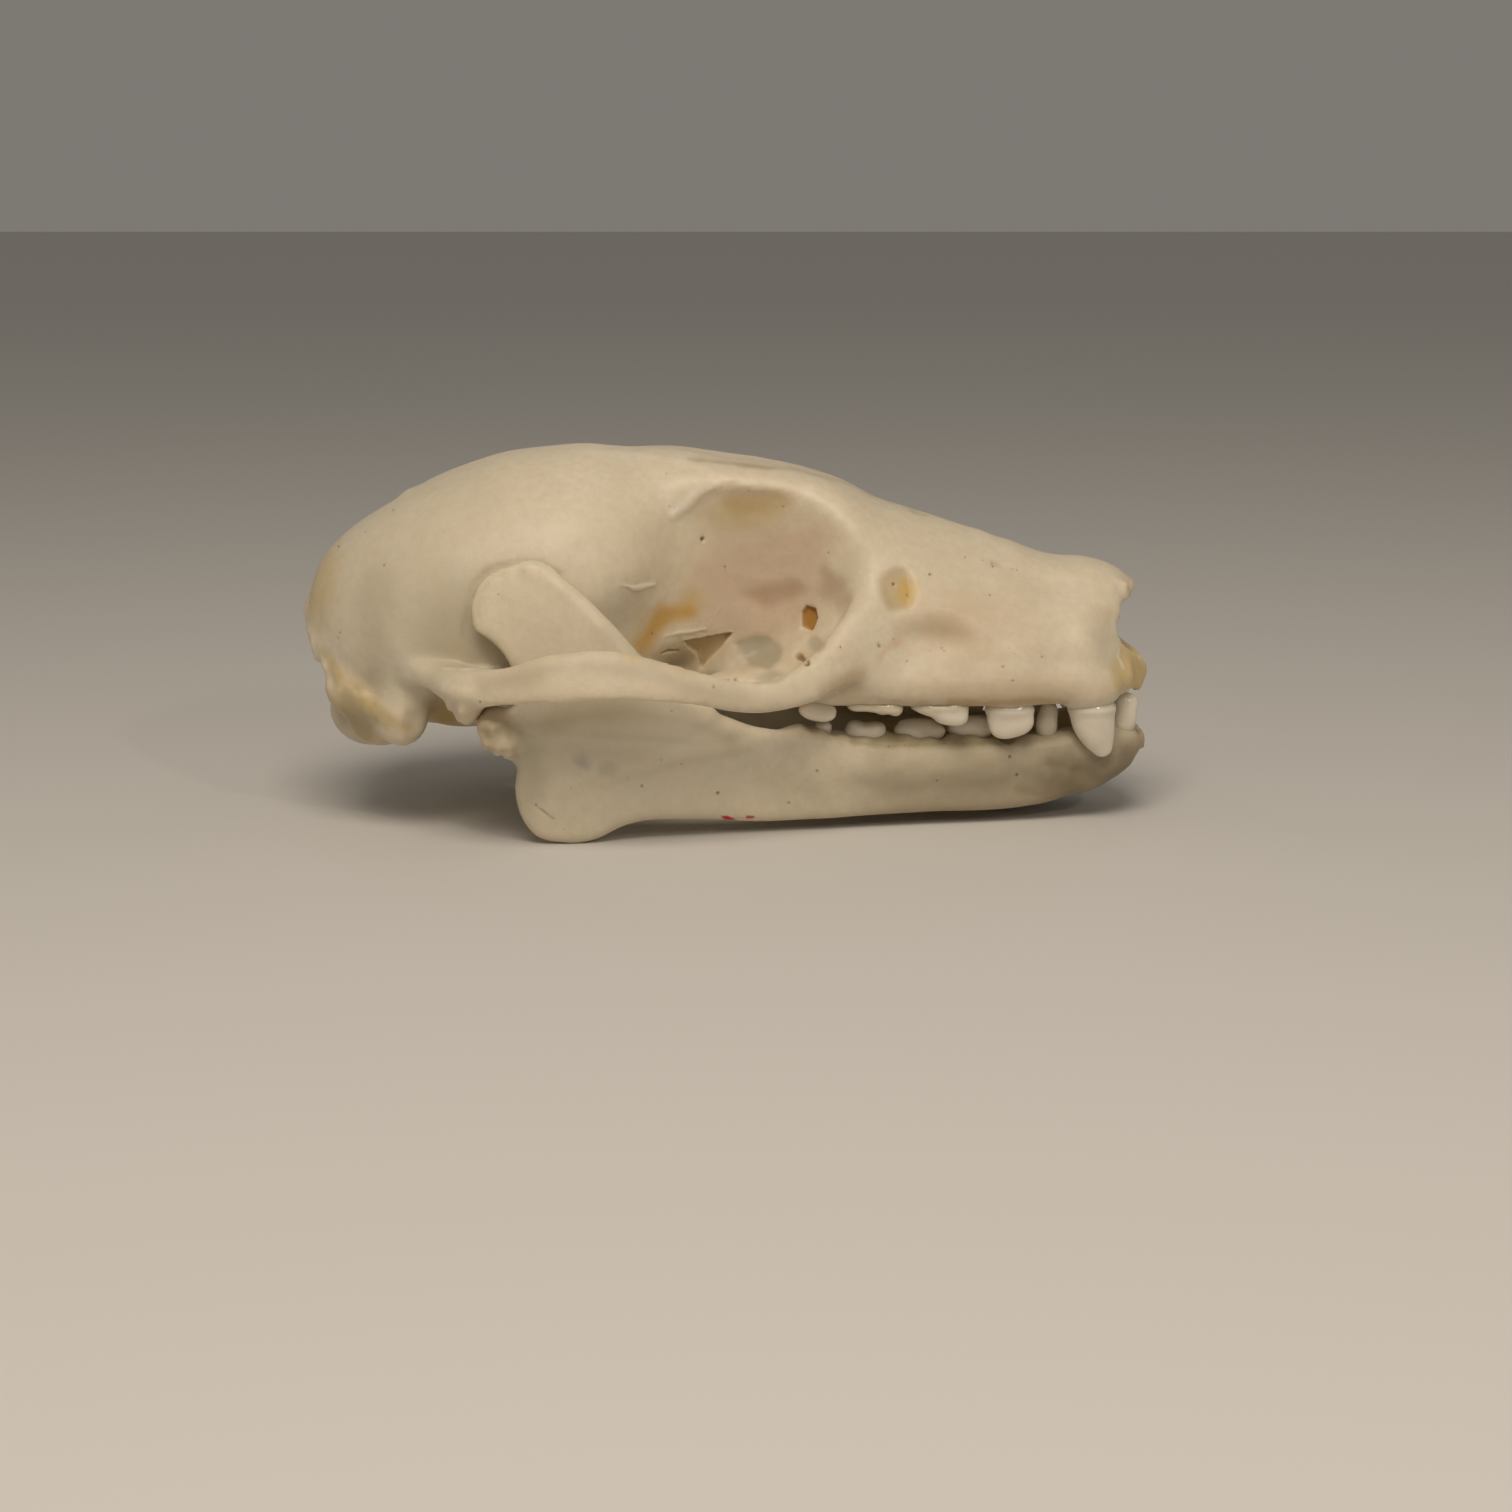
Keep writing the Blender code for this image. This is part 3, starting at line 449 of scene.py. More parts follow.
# Each rough place: its path, reach, size of the lumps and depth, in mm.
ROUGH_ON_CRANIUM = (
    (NAPE, 0.7, 0.35, 0.08),
    (NAPE, 0.9, 1.0, 0.05),
    (((19.6, 2.4, 11.4), (20.2, 1.2, 11.8), (20.3, 0.0, 11.9)), 0.8, 0.45, 0.1),
    (((20.3, 0.9, 7.4), (20.4, 0.0, 7.3)), 1.0, 0.6, 0.1),
    (((-12.4, 10.4, 6.6), (-12.2, 8.0, 6.3)), 0.9, 0.5, 0.14),
)


def roughen_both_sides(clay, places):
    """Roughens the right side, then the left."""
    for side in (-1, 1):
        for path, reach, grain, depth in places:
            clay.roughen([(x, y * side, z) for x, y, z in path], reach, grain, depth)


cranium_clay.uneven(2.6, 0.035)
roughen_both_sides(cranium_clay, ROUGH_ON_CRANIUM)
print("rough places on the cranium:", len(ROUGH_ON_CRANIUM))

# %% [markdown]
# ## From clay to mesh
#
# A volume library that comes with Blender finds the surface where the distance is zero and covers
# it with even four-sided faces. Tiny loose islands can be left where a thin wall breaks up, so only
# the largest connected piece is kept.

# %% Turn a block into a mesh
def largest_island(points, quads):
    """Keeps the faces of the largest connected piece."""
    label = np.arange(len(points))
    edges = np.concatenate([quads[:, [k, (k + 1) % 4]] for k in range(4)])
    while True:
        low = np.minimum(label[edges[:, 0]], label[edges[:, 1]])
        new = label.copy()
        np.minimum.at(new, edges[:, 0], low)
        np.minimum.at(new, edges[:, 1], low)
        new = new[new]
        if (new == label).all():
            break
        label = new
    values, counts = np.unique(label, return_counts=True)
    kept = label == values[counts.argmax()]
    index = np.cumsum(kept) - 1
    return points[kept], index[quads[kept[quads[:, 0]]]]


def mesh_of(clay, name):
    """Covers the clay's surface with a mesh, and puts it in the scene as a smooth object."""
    grid = openvdb.FloatGrid(FAR)
    grid.copyFromArray(clay.field)
    points, quads = grid.convertToQuads(0.0)
    points, quads = largest_island(points, quads.astype(np.int64))
    points = points * clay.cell + [axis[0] for axis in clay.axes]
    mesh = bpy.data.meshes.new(name)
    mesh.from_pydata((points * MM).tolist(), [], quads.tolist())
    mesh.shade_smooth()
    piece = bpy.data.objects.new(name, mesh)
    bpy.context.scene.collection.objects.link(piece)
    print(name, "has", len(quads) * 2, "triangles")
    return piece


cranium = mesh_of(cranium_clay, "bone_cranium")

# %% [markdown]
# The walls inside the braincase and the nose are hardly seen, so they need fewer faces than the
# outside. A decimate modifier thins out only the points in its group. The mesh is scaled up to
# whole millimetres for it and back again, because the modifier works badly on faces as small as
# these.

# %% Thin out the hidden inner walls
CRANIUM_TRIANGLES = 168000
INTO_WALL = 0.4  # mm; how far past the brain room a point still counts as hidden
INTO_NOSE_WALL = 0.3
NOSE_TIP_SEEN_FROM = 18.0


def points_of(mesh):
    """The points of a mesh in millimetres."""
    flat = np.empty(3 * len(mesh.vertices), np.float32)
    mesh.vertices.foreach_get("co", flat)
    return flat.reshape(-1, 3) / MM


def triangles_in(mesh):
    return sum(len(face.vertices) - 2 for face in mesh.polygons)


x, y, z = points_of(cranium.data).T
in_braincase = hull(BRAIN_ROOM, 2.1, 2.6, grow=INTO_WALL - WALL)[2](x, y, z) < 0
in_nose = (hull(NOSE_ROOM, grow=INTO_NOSE_WALL)[2](x, y, z) < 0) & (x < NOSE_TIP_SEEN_FROM)
inner_walls = cranium.vertex_groups.new(name="inner walls")
inner_walls.add(np.flatnonzero(in_braincase | in_nose).tolist(), 1.0, "REPLACE")
cranium.data.transform(Matrix.Scale(1 / MM, 4))
thinner = cranium.modifiers.new("thin out the inner walls", "DECIMATE")
thinner.vertex_group = inner_walls.name
thinner.ratio = CRANIUM_TRIANGLES / (2 * len(cranium.data.polygons))
thinned = cranium.evaluated_get(bpy.context.evaluated_depsgraph_get())
cranium.data = bpy.data.meshes.new_from_object(thinned)
cranium.data.transform(Matrix.Scale(MM, 4))
cranium.modifiers.clear()
cranium.vertex_groups.clear()
print("cranium triangles:", triangles_in(cranium.data))
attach(cranium, "root")
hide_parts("cranium")

# %% [markdown]
# ## The lower jaw
#
# Each side of the jaw is a bent plate: its side view is an outline, and the plate follows a curve
# that runs out from the chin to the hinge. The outline gives a distance in the side view, the curve
# gives a distance across, and the plate is where both are inside.

# %% Outline and spread of the jaw plate
# x and z of the side view's outline, then x and the distance from the midline.
JAW_OUTLINE = (
    (-11.7, 10.3), (-11.9, 11.3), (-11.7, 12.2), (-11.1, 13.0), (-10.1, 13.45), (-9.0, 13.55),
    (-8.1, 13.35), (-7.7, 12.85), (-6.3, 11.4), (-5.0, 9.8), (-3.6, 8.1), (-2.1, 6.9), (-0.3, 6.0),
    (1.5, 5.2), (3.6, 4.85), (5.8, 4.4), (8.4, 4.0), (11.0, 3.8), (13.5, 3.8), (15.5, 3.95),
    (17.2, 4.2), (18.6, 4.4), (18.2, 1.7), (16.6, 1.1), (14.0, 0.65), (11.5, 0.65), (8.0, 0.6),
    (4.7, 0.55), (1.5, 0.6), (-2.1, 0.9), (-3.7, 0.9), (-4.8, 0.7), (-6.2, 0.1), (-7.6, -0.05),
    (-8.9, 0.3), (-9.7, 1.5), (-9.9, 2.7), (-9.8, 3.9), (-10.5, 4.7), (-10.8, 5.5), (-10.1, 6.3),
    (-9.7, 7.3), (-9.9, 8.4), (-10.6, 9.5),
)
JAW_SPREAD = (
    (-12.5, 8.75), (-7.0, 8.5), (-2.0, 7.2), (2.0, 5.8), (7.0, 4.4), (12.0, 3.4), (15.0, 2.8),
    (19.0, 1.9),
)
JAW_LEAN = 0.1
LEAN_FROM = 5
BLADE_TUCK = 0.105
BLADE_TUCK_FROM = 8.0
PLATE_THICKNESS = ((-6.0, 0.0, 5.0), (0.62, 0.8, 1.4))  # x, then mm
PLATE_TAPER = ((5.0, 8.0, 10.0, 13.5), (1.5, 1.3, 0.95, 0.75))  # z, then times that thickness
print("points of the jaw outline:", len(JAW_OUTLINE))

# %% Hulls and bars of the jaw, and its rough places
CHIN = (
    (12.2, 0.7, 2.4, 1.6, 1.6), (13.4, -0.03, 3.1, 2.4, 1.9), (15.2, 0.3, 3.7, 2.8, 2.4),
    (16.6, 0.75, 3.9, 2.9, 2.7), (18.2, 1.45, 4.2, 2.9, 3.2), (19.6, 2.4, 4.35, 2.5, 3.6),
    (20.75, 3.1, 4.2, 1.6, 3.75),
)
LOWER_TOOTH_RIDGE = (
    (3.6, 5.0, 4.35, 1.5, 1.3), (7.0, 4.4, 3.65, 1.6, 1.4), (12.0, 3.35, 3.3, 1.6, 1.4),
    (15.5, 2.85, 3.4, 1.7, 1.6), (17.4, 2.45, 3.75, 1.7, 1.5), (19.4, 2.0, 3.75, 1.5, 1.5),
)
BLADE_FRONT = (
    (-9.0, 8.2, 13.0, 0.6, 0.45), (-7.4, 8.3, 12.1, 0.7, 0.55), (-5.5, 8.3, 10.2, 0.8, 0.7),
    (-3.5, 7.8, 7.9, 0.9, 0.9), (-1.0, 7.1, 6.0, 1.0, 1.1),
)
CHEEK_SHELF = (
    (2.0, 6.4, 3.9, 1.2, 0.5), (5.5, 5.45, 3.5, 1.3, 0.8), (9.0, 4.65, 3.3, 1.3, 0.9),
    (13.0, 3.9, 3.2, 1.1, 0.7),
)

ROUGH_ON_JAW = (
    (((-11.6, 8.6, 6.2), (-10.4, 9.4, 4.8), (-10.9, 10.4, 5.6)), 1.1, 0.4, 0.12),
    (((18.6, 2.4, 3.8), (20.6, 0.8, 3.9), (20.5, 0, 3.0)), 0.9, 0.5, 0.12),
    (((4.0, 5.2, 4.7), (9.0, 4.1, 4.2), (15.0, 3.0, 4.1)), 0.9, 0.7, 0.1),
    (((16.0, 3.0, 2.6), (19.0, 2.6, 3.0)), 1.6, 0.6, 0.05),
)
print("stations of the chin:", len(CHIN))


# %% The plate of the jaw
def outline_distance(outline, x, z):
    """Distance in the side view to a closed smooth outline, below zero inside."""
    ring = eased([(*p, 0.0) for p in outline + outline[:1]], 4 * len(outline))[:, :2]
    nearest = np.full(np.broadcast(x, z).shape, FAR, np.float32)
    inside = np.zeros(nearest.shape, bool)
    for a, b in zip(ring, ring[1:]):
        run = b - a
        t = np.clip(((x - a[0]) * run[0] + (z - a[1]) * run[1]) / (run @ run), 0, 1)
        nearest = np.minimum(nearest, np.hypot(x - a[0] - run[0] * t, z - a[1] - run[1] * t))
        crosses = (z < a[1]) != (z < b[1])
        inside ^= crosses & (x < a[0] + (z - a[1]) * run[0] / (run[1] or 1e-9))
    return np.where(inside, -nearest, nearest)


def jaw_plate():
    """The bent plate: inside the outline, and within half its thickness of the spread curve."""
    spread = eased([(*p, 0.0) for p in JAW_SPREAD], 60)

    def distance(x, y, z):
        side_view = outline_distance(JAW_OUTLINE, x[:, 0, :], z[0])[:, None, :]
        tuck = BLADE_TUCK * np.maximum(z - BLADE_TUCK_FROM, 0) ** 1.5
        lean = JAW_LEAN * (z - LEAN_FROM) - tuck
        middle = np.interp(x.ravel(), spread[:, 0], spread[:, 1])[:, None, None] + lean
        along = np.interp(x.ravel(), *PLATE_THICKNESS)[:, None, None]
        thick = along * np.interp(z.ravel(), *PLATE_TAPER)[None, None, :]
        across = np.abs(y - middle) - thick / 2
        return -smooth_min(-side_view, -across, 0.6).astype(np.float32)

    return (-12.6, 1.0, -0.4), (19.2, 10.8, 14.0), distance


# %% Sculpt the left half of the jaw
JAW_CELL = 0.17
jaw_clay = Clay((-13.2, 0.0, -1.0), (21.6, 11.8, 14.4), JAW_CELL)
for form, blend in (
    (jaw_plate(), 0.1),
    (hull(CHIN, 2.4, 1.8), 0.8),
    (bar(LOWER_TOOTH_RIDGE), 0.8),
    (egg((-10.75, 9.0, 6.0), (0.8, 1.5, 0.7), (0, 25, 0)), 0.8),
    (egg((-10.3, 9.2, 5.2), (0.8, 1.1, 0.6)), 0.7),
    (bar(CHEEK_SHELF), 0.9),
    (bar(BLADE_FRONT), 0.5),
    (egg((18.3, 1.5, 2.35), (1.7, 1.3, 0.75), (0, -22, 0)), 0.9),
):
    jaw_clay.add(form, blend)
for hollow, blend in (
    (egg((-4.2, 9.5, 6.0), (4.6, 1.15, 2.3), (0, 4, -13)), 0.9),
    (egg((-8.6, 10.1, 2.9), (0.9, 1.0, 1.9), (0, 12, -8)), 0.6),
):
    jaw_clay.cut(hollow, blend)
jaw_clay.both_sides()
jaw_clay.uneven(2.6, 0.03)
roughen_both_sides(jaw_clay, ROUGH_ON_JAW)
jaw = mesh_of(jaw_clay, "bone_jaw")
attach(jaw, "root")
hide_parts("mandible")

# %% [markdown]
# ## Teeth
#
# A fruit bat's teeth are low and blunt, for pressing juice out of fruit. Each tooth is sculpted on
# its own, in a small and finer block, from a few eggs: a crown, its cusps, a swollen collar round
# the neck and the roots.
#
# A canine is a horn: a form that tapers along a bent path. Each point of a tooth also stores how
# near it is to the neck, so that the enamel can turn creamier and darker there, partly as painted
# shade under the bone's edge.

# %% A horn for the canines
def horn(path, flat=1.0):
    """A path of x, distance from the midline, z and radius. Flat narrows the form across."""
    rows = eased(path, 40)

    def distance(x, y, z):
        nearest = np.float32(FAR)
        for a, b in zip(rows, rows[1:]):
            t, (dx, dy, dz) = from_run(a, b, x, y, z)
            gap = np.sqrt(dx * dx + (dy / flat) ** 2 + dz * dz)
            nearest = np.minimum(nearest, gap - a[3] - (b[3] - a[3]) * t)
        return nearest

    reach = rows[:, 3].max()
    return rows[:, :3].min(0) - reach, rows[:, :3].max(0) + reach, distance


# %% Forms of the upper teeth
UPPER_TEETH = {
    "upper_canine": (
        horn(((17.35, 3.75, 8.0, 0.8), (17.7, 3.85, 6.6, 0.98), (17.85, 3.9, 5.7, 1.1),
              (17.98, 3.95, 5.0, 1.02), (18.2, 3.95, 4.35, 0.78), (18.4, 3.95, 3.85, 0.52)),
             flat=0.78),
        egg((17.86, 3.9, 5.75), (1.14, 0.92, 0.34)),
    ),
    "upper_front_premolar": (
        egg((13.85, 4.65, 5.35), (1.12, 0.55, 0.9), (0, -14, 0), power=2.6),
        egg((13.78, 4.65, 5.85), (1.2, 0.7, 0.42)),
        egg((13.2, 4.6, 6.6), (0.42, 0.45, 0.9)),
        egg((14.3, 4.6, 6.6), (0.42, 0.45, 0.9)),
    ),
    "upper_back_premolar": (
        egg((10.95, 5.3, 5.7), (0.82, 0.58, 0.52), (0, 6, 0), power=2.6),
        egg((10.15, 5.3, 5.92), (1.1, 0.64, 0.36), (0, 18, 0), power=2.4),
        egg((10.4, 5.28, 6.1), (1.38, 0.7, 0.22)),
        egg((9.7, 5.2, 6.7), (0.42, 0.5, 0.8)),
        egg((11.1, 5.2, 6.7), (0.42, 0.5, 0.8)),
    ),
    "upper_first_molar": (
        egg((6.65, 5.65, 6.2), (0.72, 0.6, 0.26), power=2.4),
        egg((7.75, 5.65, 6.12), (0.82, 0.6, 0.3), (0, 6, 0), power=2.4),
        egg((8.25, 5.75, 5.98), (0.26, 0.34, 0.28)),
        egg((7.6, 5.8, 5.98), (0.22, 0.3, 0.2)),
        egg((6.35, 5.6, 6.8), (0.42, 0.5, 0.7)),
        egg((8.05, 5.6, 6.8), (0.42, 0.5, 0.7)),
    ),
    "upper_second_molar": (
        egg((4.5, 5.8, 6.0), (0.92, 0.6, 0.52), (0, 10, 0), power=2.3),
        egg((4.4, 5.75, 6.6), (0.6, 0.5, 0.7)),
    ),
}
print("upper teeth on each side:", len(UPPER_TEETH))

# %% Forms of the lower teeth
LOWER_TEETH = {
    "lower_canine": (
        horn(((19.3, 1.9, 3.4, 0.5), (19.55, 2.0, 4.4, 0.58), (19.68, 2.05, 5.1, 0.62),
              (19.72, 2.1, 5.6, 0.55)), flat=0.85),
        egg((19.75, 2.1, 5.75), (0.56, 0.4, 0.34), power=2.6),
    ),
    "lower_front_premolar": (
        egg((15.85, 2.9, 5.2), (0.45, 0.42, 0.72), (0, 6, 0), power=2.5),
        egg((15.75, 2.9, 4.6), (0.5, 0.42, 0.8)),
        egg((15.85, 2.9, 4.0), (0.4, 0.4, 0.8)),
    ),
    "lower_back_premolar": (
        egg((12.0, 3.35, 4.62), (1.12, 0.48, 0.46), power=2.4),
        egg((12.35, 3.35, 5.0), (0.66, 0.4, 0.34), power=2.2),
        egg((12.0, 3.35, 4.1), (0.9, 0.4, 0.6)),
    ),
    "lower_first_molar": (
        egg((9.5, 3.85, 4.6), (1.26, 0.5, 0.52), power=2.4),
        egg((9.4, 3.95, 4.98), (0.86, 0.34, 0.24), power=2.2),
        egg((9.45, 3.85, 4.2), (1.1, 0.42, 0.6)),
    ),
    "lower_second_molar": (
        egg((6.85, 4.35, 4.66), (1.0, 0.5, 0.46), power=2.4),
        egg((6.35, 4.42, 5.02), (0.34, 0.34, 0.22)),
        egg((7.4, 4.4, 4.95), (0.36, 0.34, 0.2)),
        egg((6.8, 4.35, 4.3), (0.9, 0.42, 0.6)),
    ),
    "lower_third_molar": (
        egg((4.8, 4.85, 5.05), (0.4, 0.36, 0.24)),
        egg((4.8, 4.85, 4.7), (0.35, 0.3, 0.5)),
    ),
}
print("lower teeth on each side:", len(LOWER_TEETH))


# %% Sculpt the teeth
TOOTH_CELL = 0.055
TOOTH_MARGIN = 0.3
TOOTH_BLEND = 0.28
# The height where the neck's colour begins, and the way up or down to where it is full.
# The necks also turn darker, partly as painted shade under the bone's edge.
UPPER_NECK = (5.8, 0.8)
LOWER_NECK = (4.75, -0.6)


def sculpt_tooth(name, forms, side, neck):
    """Sculpts one tooth on the left, mirrors it if it belongs on the right, and marks its neck."""
    low = np.min([form[0] for form in forms], axis=0) - TOOTH_MARGIN
    high = np.max([form[1] for form in forms], axis=0) + TOOTH_MARGIN
    clay = Clay(low, high, TOOTH_CELL)
    for form in forms:
        clay.add(form, TOOTH_BLEND)
    if side == "right":
        clay.field = clay.field[:, ::-1]
        clay.axes[1] = -clay.axes[1][::-1]
    tooth = mesh_of(clay, f"tooth_{name}_{side}")
    begins, way = neck
    past_crown = np.clip((points_of(tooth.data)[:, 2] - begins) / way, 0, 1)
    tooth.data.attributes.new("neck", "FLOAT", "POINT").data.foreach_set("value", past_crown)
    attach(tooth, "root")
    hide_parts(f"{name}_{side}")
    return tooth


teeth = [sculpt_tooth(name, forms, side, neck)
         for table, neck in ((UPPER_TEETH, UPPER_NECK), (LOWER_TEETH, LOWER_NECK))
         for name, forms in table.items() for side in ("right", "left")]
print("teeth:", len(teeth))


# %% [markdown]
# ## Marks on the bone
#
# Old bone isn't one colour. It bears stains where tissue dried on it, is grey where it is thin, and
# is dotted with pores. Some marks are painted shade and painted light instead: darker colour in
# holes, hollows and gaps where shade falls, and lighter colour where the bone should look lit.
# Such marks could be painted by hand on an image, but that needs an unwrapped mesh and an image
# file. Here each point of the mesh stores a colour instead, and code brushes the colours on.
#
# A wash tints all the bone inside a soft egg, on both sides of the skull. A mark is drawn in pixels
# of the photograph: each point of the mesh has a pixel where the camera sees it, and takes the mark
# if nothing stands in front of it. A mark is a stroke, or a filled shape if its path is closed, and
# it can tint the bone, raise it, press into it, or do two of these.

# %% Colours, and the photograph's pixels
HALF_PHOTO = 756


def linear(colour):
    """Turns an sRGB hex colour into the linear colour that a shader works with."""
    parts = [int(colour[k:k + 2], 16) / 255 for k in (1, 3, 5)]
    return [(c / 12.92 if c <= 0.04045 else ((c + 0.055) / 1.055) ** 2.4) for c in parts] + [1.0]


def pixels_of(points):
    """Where the camera sees points, in pixels of the photograph."""
    offset = points - np.array(VIEW_AIM)
    up = offset[:, 1] * math.sin(VIEW_RISE) + offset[:, 2] * math.cos(VIEW_RISE)
    away = VIEW_DISTANCE + offset[:, 1] * math.cos(VIEW_RISE) - offset[:, 2] * math.sin(VIEW_RISE)
    scale = HALF_PHOTO * VIEW_DISTANCE / (HALF_VIEW_WIDTH * away)
    return np.column_stack((HALF_PHOTO + offset[:, 0] * scale, HALF_PHOTO - up * scale))


BONE_COLOUR = linear("#d4c7ac")
print("bone colour for the shader:", [round(c, 3) for c in BONE_COLOUR])

# %% Paths in pixels
def oval(centre, half_width, half_height, turn=0):
    """A closed path round an oval, turned by some degrees."""
    path, way = [], math.radians(turn)
    for k in range(25):
        angle = 2 * math.pi * (k % 24) / 24
        along, across = half_width * math.cos(angle), half_height * math.sin(angle)
        path.append((centre[0] + along * math.cos(way) - across * math.sin(way),
                     centre[1] + along * math.sin(way) + across * math.cos(way)))
    return path


def path_distance(pixels, path):
    """Distance in pixels to a path. Inside a closed path it is below zero."""
    nearest = np.full(len(pixels), 1000.0)
    inside = np.zeros(len(pixels), bool)
    for a, b in zip(path, path[1:] or path):
        run = np.subtract(b, a).astype(float)
        t = np.clip((pixels - a) @ run / max(run @ run, 1e-9), 0, 1)
        nearest = np.minimum(nearest, np.linalg.norm(pixels - a - t[:, None] * run, axis=1))
        crosses = (pixels[:, 1] < a[1]) != (pixels[:, 1] < b[1])
        meets = a[0] + (pixels[:, 1] - a[1]) * run[0] / (run[1] or 1e-9)
        inside ^= crosses & (pixels[:, 0] < meets)
    closed = len(path) > 2 and path[0] == path[-1]
    return np.where(inside & closed, -nearest, nearest)


print("an oval's path has", len(oval((0, 0), 2, 1)), "points")

# %% [markdown]
# The painter keeps a piece's points, their pixels and their colours. It asks a search tree of the
# mesh whether the bone itself hides a point from the camera. A brush's edge is never quite
# straight, so soft lumps move it in and out.

# %% Wash, mark and press the bone
BOTH, RIGHT = (1, -1), (1,)
RAY_SHORT = 0.45  # mm; bone this close round a point doesn't hide it
EDGE_LUMPS = 0.25  # share of a mark's soft edge
FADES_BELOW = 4  # a mark fades where the bone faces the camera by less than 1 / 4
WASH_PUSH = 1.3
WASH_REACH = 1.2
# How much a wash's edge varies, the size of its lumps in mm, and their seed.
WASH_LUMPS = ((0.06, 2.2, 5), (0.03, 0.7, 8))
# What a mark is, its path, half width and soft edge in pixels, its colour and strength, how far it
# rises in mm, and its sides: 1 is the right side, and -1 the left.
Mark = namedtuple("Mark", "what path half_width soft colour strength height sides",
                  defaults=(0.0, BOTH))


def soft_step(value):
    """Makes an even rise from 0 to 1 start and end gently."""
    value = np.clip(value, 0, 1)
    return value * value * (3 - 2 * value)


class Painter:
    def __init__(self, piece):
        self.mesh = piece.data
        faces = [tuple(face.vertices) for face in self.mesh.polygons]
        self.tree = BVHTree.FromPolygons(points_of(self.mesh).tolist(), faces)
        self.read()

    def read(self):
        """Reads the points, and starts with plain bone that no brush has covered."""
        self.points = points_of(self.mesh).astype(float)
        normals = np.empty(3 * len(self.points), np.float32)
        self.mesh.vertices.foreach_get("normal", normals)
        self.normals = normals.reshape(-1, 3)
        self.pixels = {side: pixels_of(self.points * (1, side, 1)) for side in BOTH}
        bare = np.array(BONE_COLOUR, np.float32) * (1, 1, 1, 0)
        self.paint = np.tile(bare, (len(self.points), 1))

    def seen(self, path, reach, side):
        """The points that the camera sees near a path, how far from it, and how much they face it.

        For side -1 all is mirrored to the left.
        """
        low, high = np.min(path, axis=0) - reach, np.max(path, axis=0) + reach
        names = np.flatnonzero(((self.pixels[side] > low) & (self.pixels[side] < high)).all(1))
        gap = path_distance(self.pixels[side][names], path)
        names, gap = names[gap < reach], gap[gap < reach]
        visible, facing = [], []
        mirror = (1, side, 1)
        for point, normal in zip(self.points[names] * mirror, self.normals[names] * mirror):
            way = Vector(point) - EYE
            room = way.length - RAY_SHORT
            way.normalize()
            facing.append(-way.dot(Vector(normal)))
            visible.append(facing[-1] > 0 and self.tree.ray_cast(EYE, way, room)[0] is None)
        visible = np.array(visible, bool)
        return names[visible], gap[visible], np.array(facing)[visible]

    def tint(self, names, colour, weight):
        """Lays a colour over what is there. A point's fourth number is its share of cover."""
        under = self.paint[names, 3] * (1 - weight)
        total = np.maximum(under + weight, 1e-6)[:, None]
        over = np.array(linear(colour)[:3]) * weight[:, None]
        mixed = (self.paint[names, :3] * under[:, None] + over) / total
        self.paint[names, :3] = np.where(weight[:, None] > 0, mixed, self.paint[names, :3])
        self.paint[names, 3] = under + weight

    def wash(self, centre, radii, colour, strength):
        """Tints all points inside a soft egg, and inside its mirror image."""
        folded = np.abs(self.points * (0, 1, 0)) + self.points * (1, 0, 1)
        size = np.linalg.norm((folded - centre) / radii, axis=1)
        names = np.flatnonzero(size < WASH_REACH)
        inside = self.points[names].T
        uneven = sum(share * lumps(*inside, grain, seed) for share, grain, seed in WASH_LUMPS)
        self.tint(names, colour, strength * soft_step(WASH_PUSH * (1 - size[names] + uneven)))

    def draw(self, mark, side):
        """Moves the bone along a mark by the mark's height, and tints it."""
        names, gap, facing = self.seen(mark.path, mark.half_width + mark.soft, side)
        if not len(names):
            print("no bone under", mark.what)
            return
        edge = lumps(*self.points[names].T, 0.3 + mark.soft / 15)
        gap = gap + EDGE_LUMPS * mark.soft * edge - mark.half_width
        weight = soft_step(0.5 - gap / mark.soft) * np.clip(FADES_BELOW * facing, 0, 1)
        self.points[names] += self.normals[names] * (mark.height * weight)[:, None]
        self.tint(names, mark.colour, mark.strength * weight)

    def refine(self, places):
        """Splits the faces near each path, so that a crisp edge can follow it."""
        close = set()
        for path, reach, side in places:
            names, gap, _ = self.seen(path, reach, side)
            close.update(names[gap > -reach].tolist())
        work = bmesh.new()
        work.from_mesh(self.mesh)
        edges = [edge for edge in work.edges if all(end.index in close for end in edge.verts)]
        bmesh.ops.subdivide_edges(work, edges=edges, cuts=2, use_grid_fill=True)
        work.to_mesh(self.mesh)
        work.free()
        self.read()

    def write(self):
        """Puts the moved points and the colours back into the mesh."""
        self.mesh.vertices.foreach_set("co", (self.points * MM).ravel())
        # This layer holds real stains and also painted shade and painted light.
        layer = self.mesh.attributes.new("stain", "FLOAT_COLOR", "POINT")
        layer.data.foreach_set("color", self.paint.astype(np.float32).ravel())
        self.mesh.update()


print("a mark stores:", ", ".join(Mark._fields))
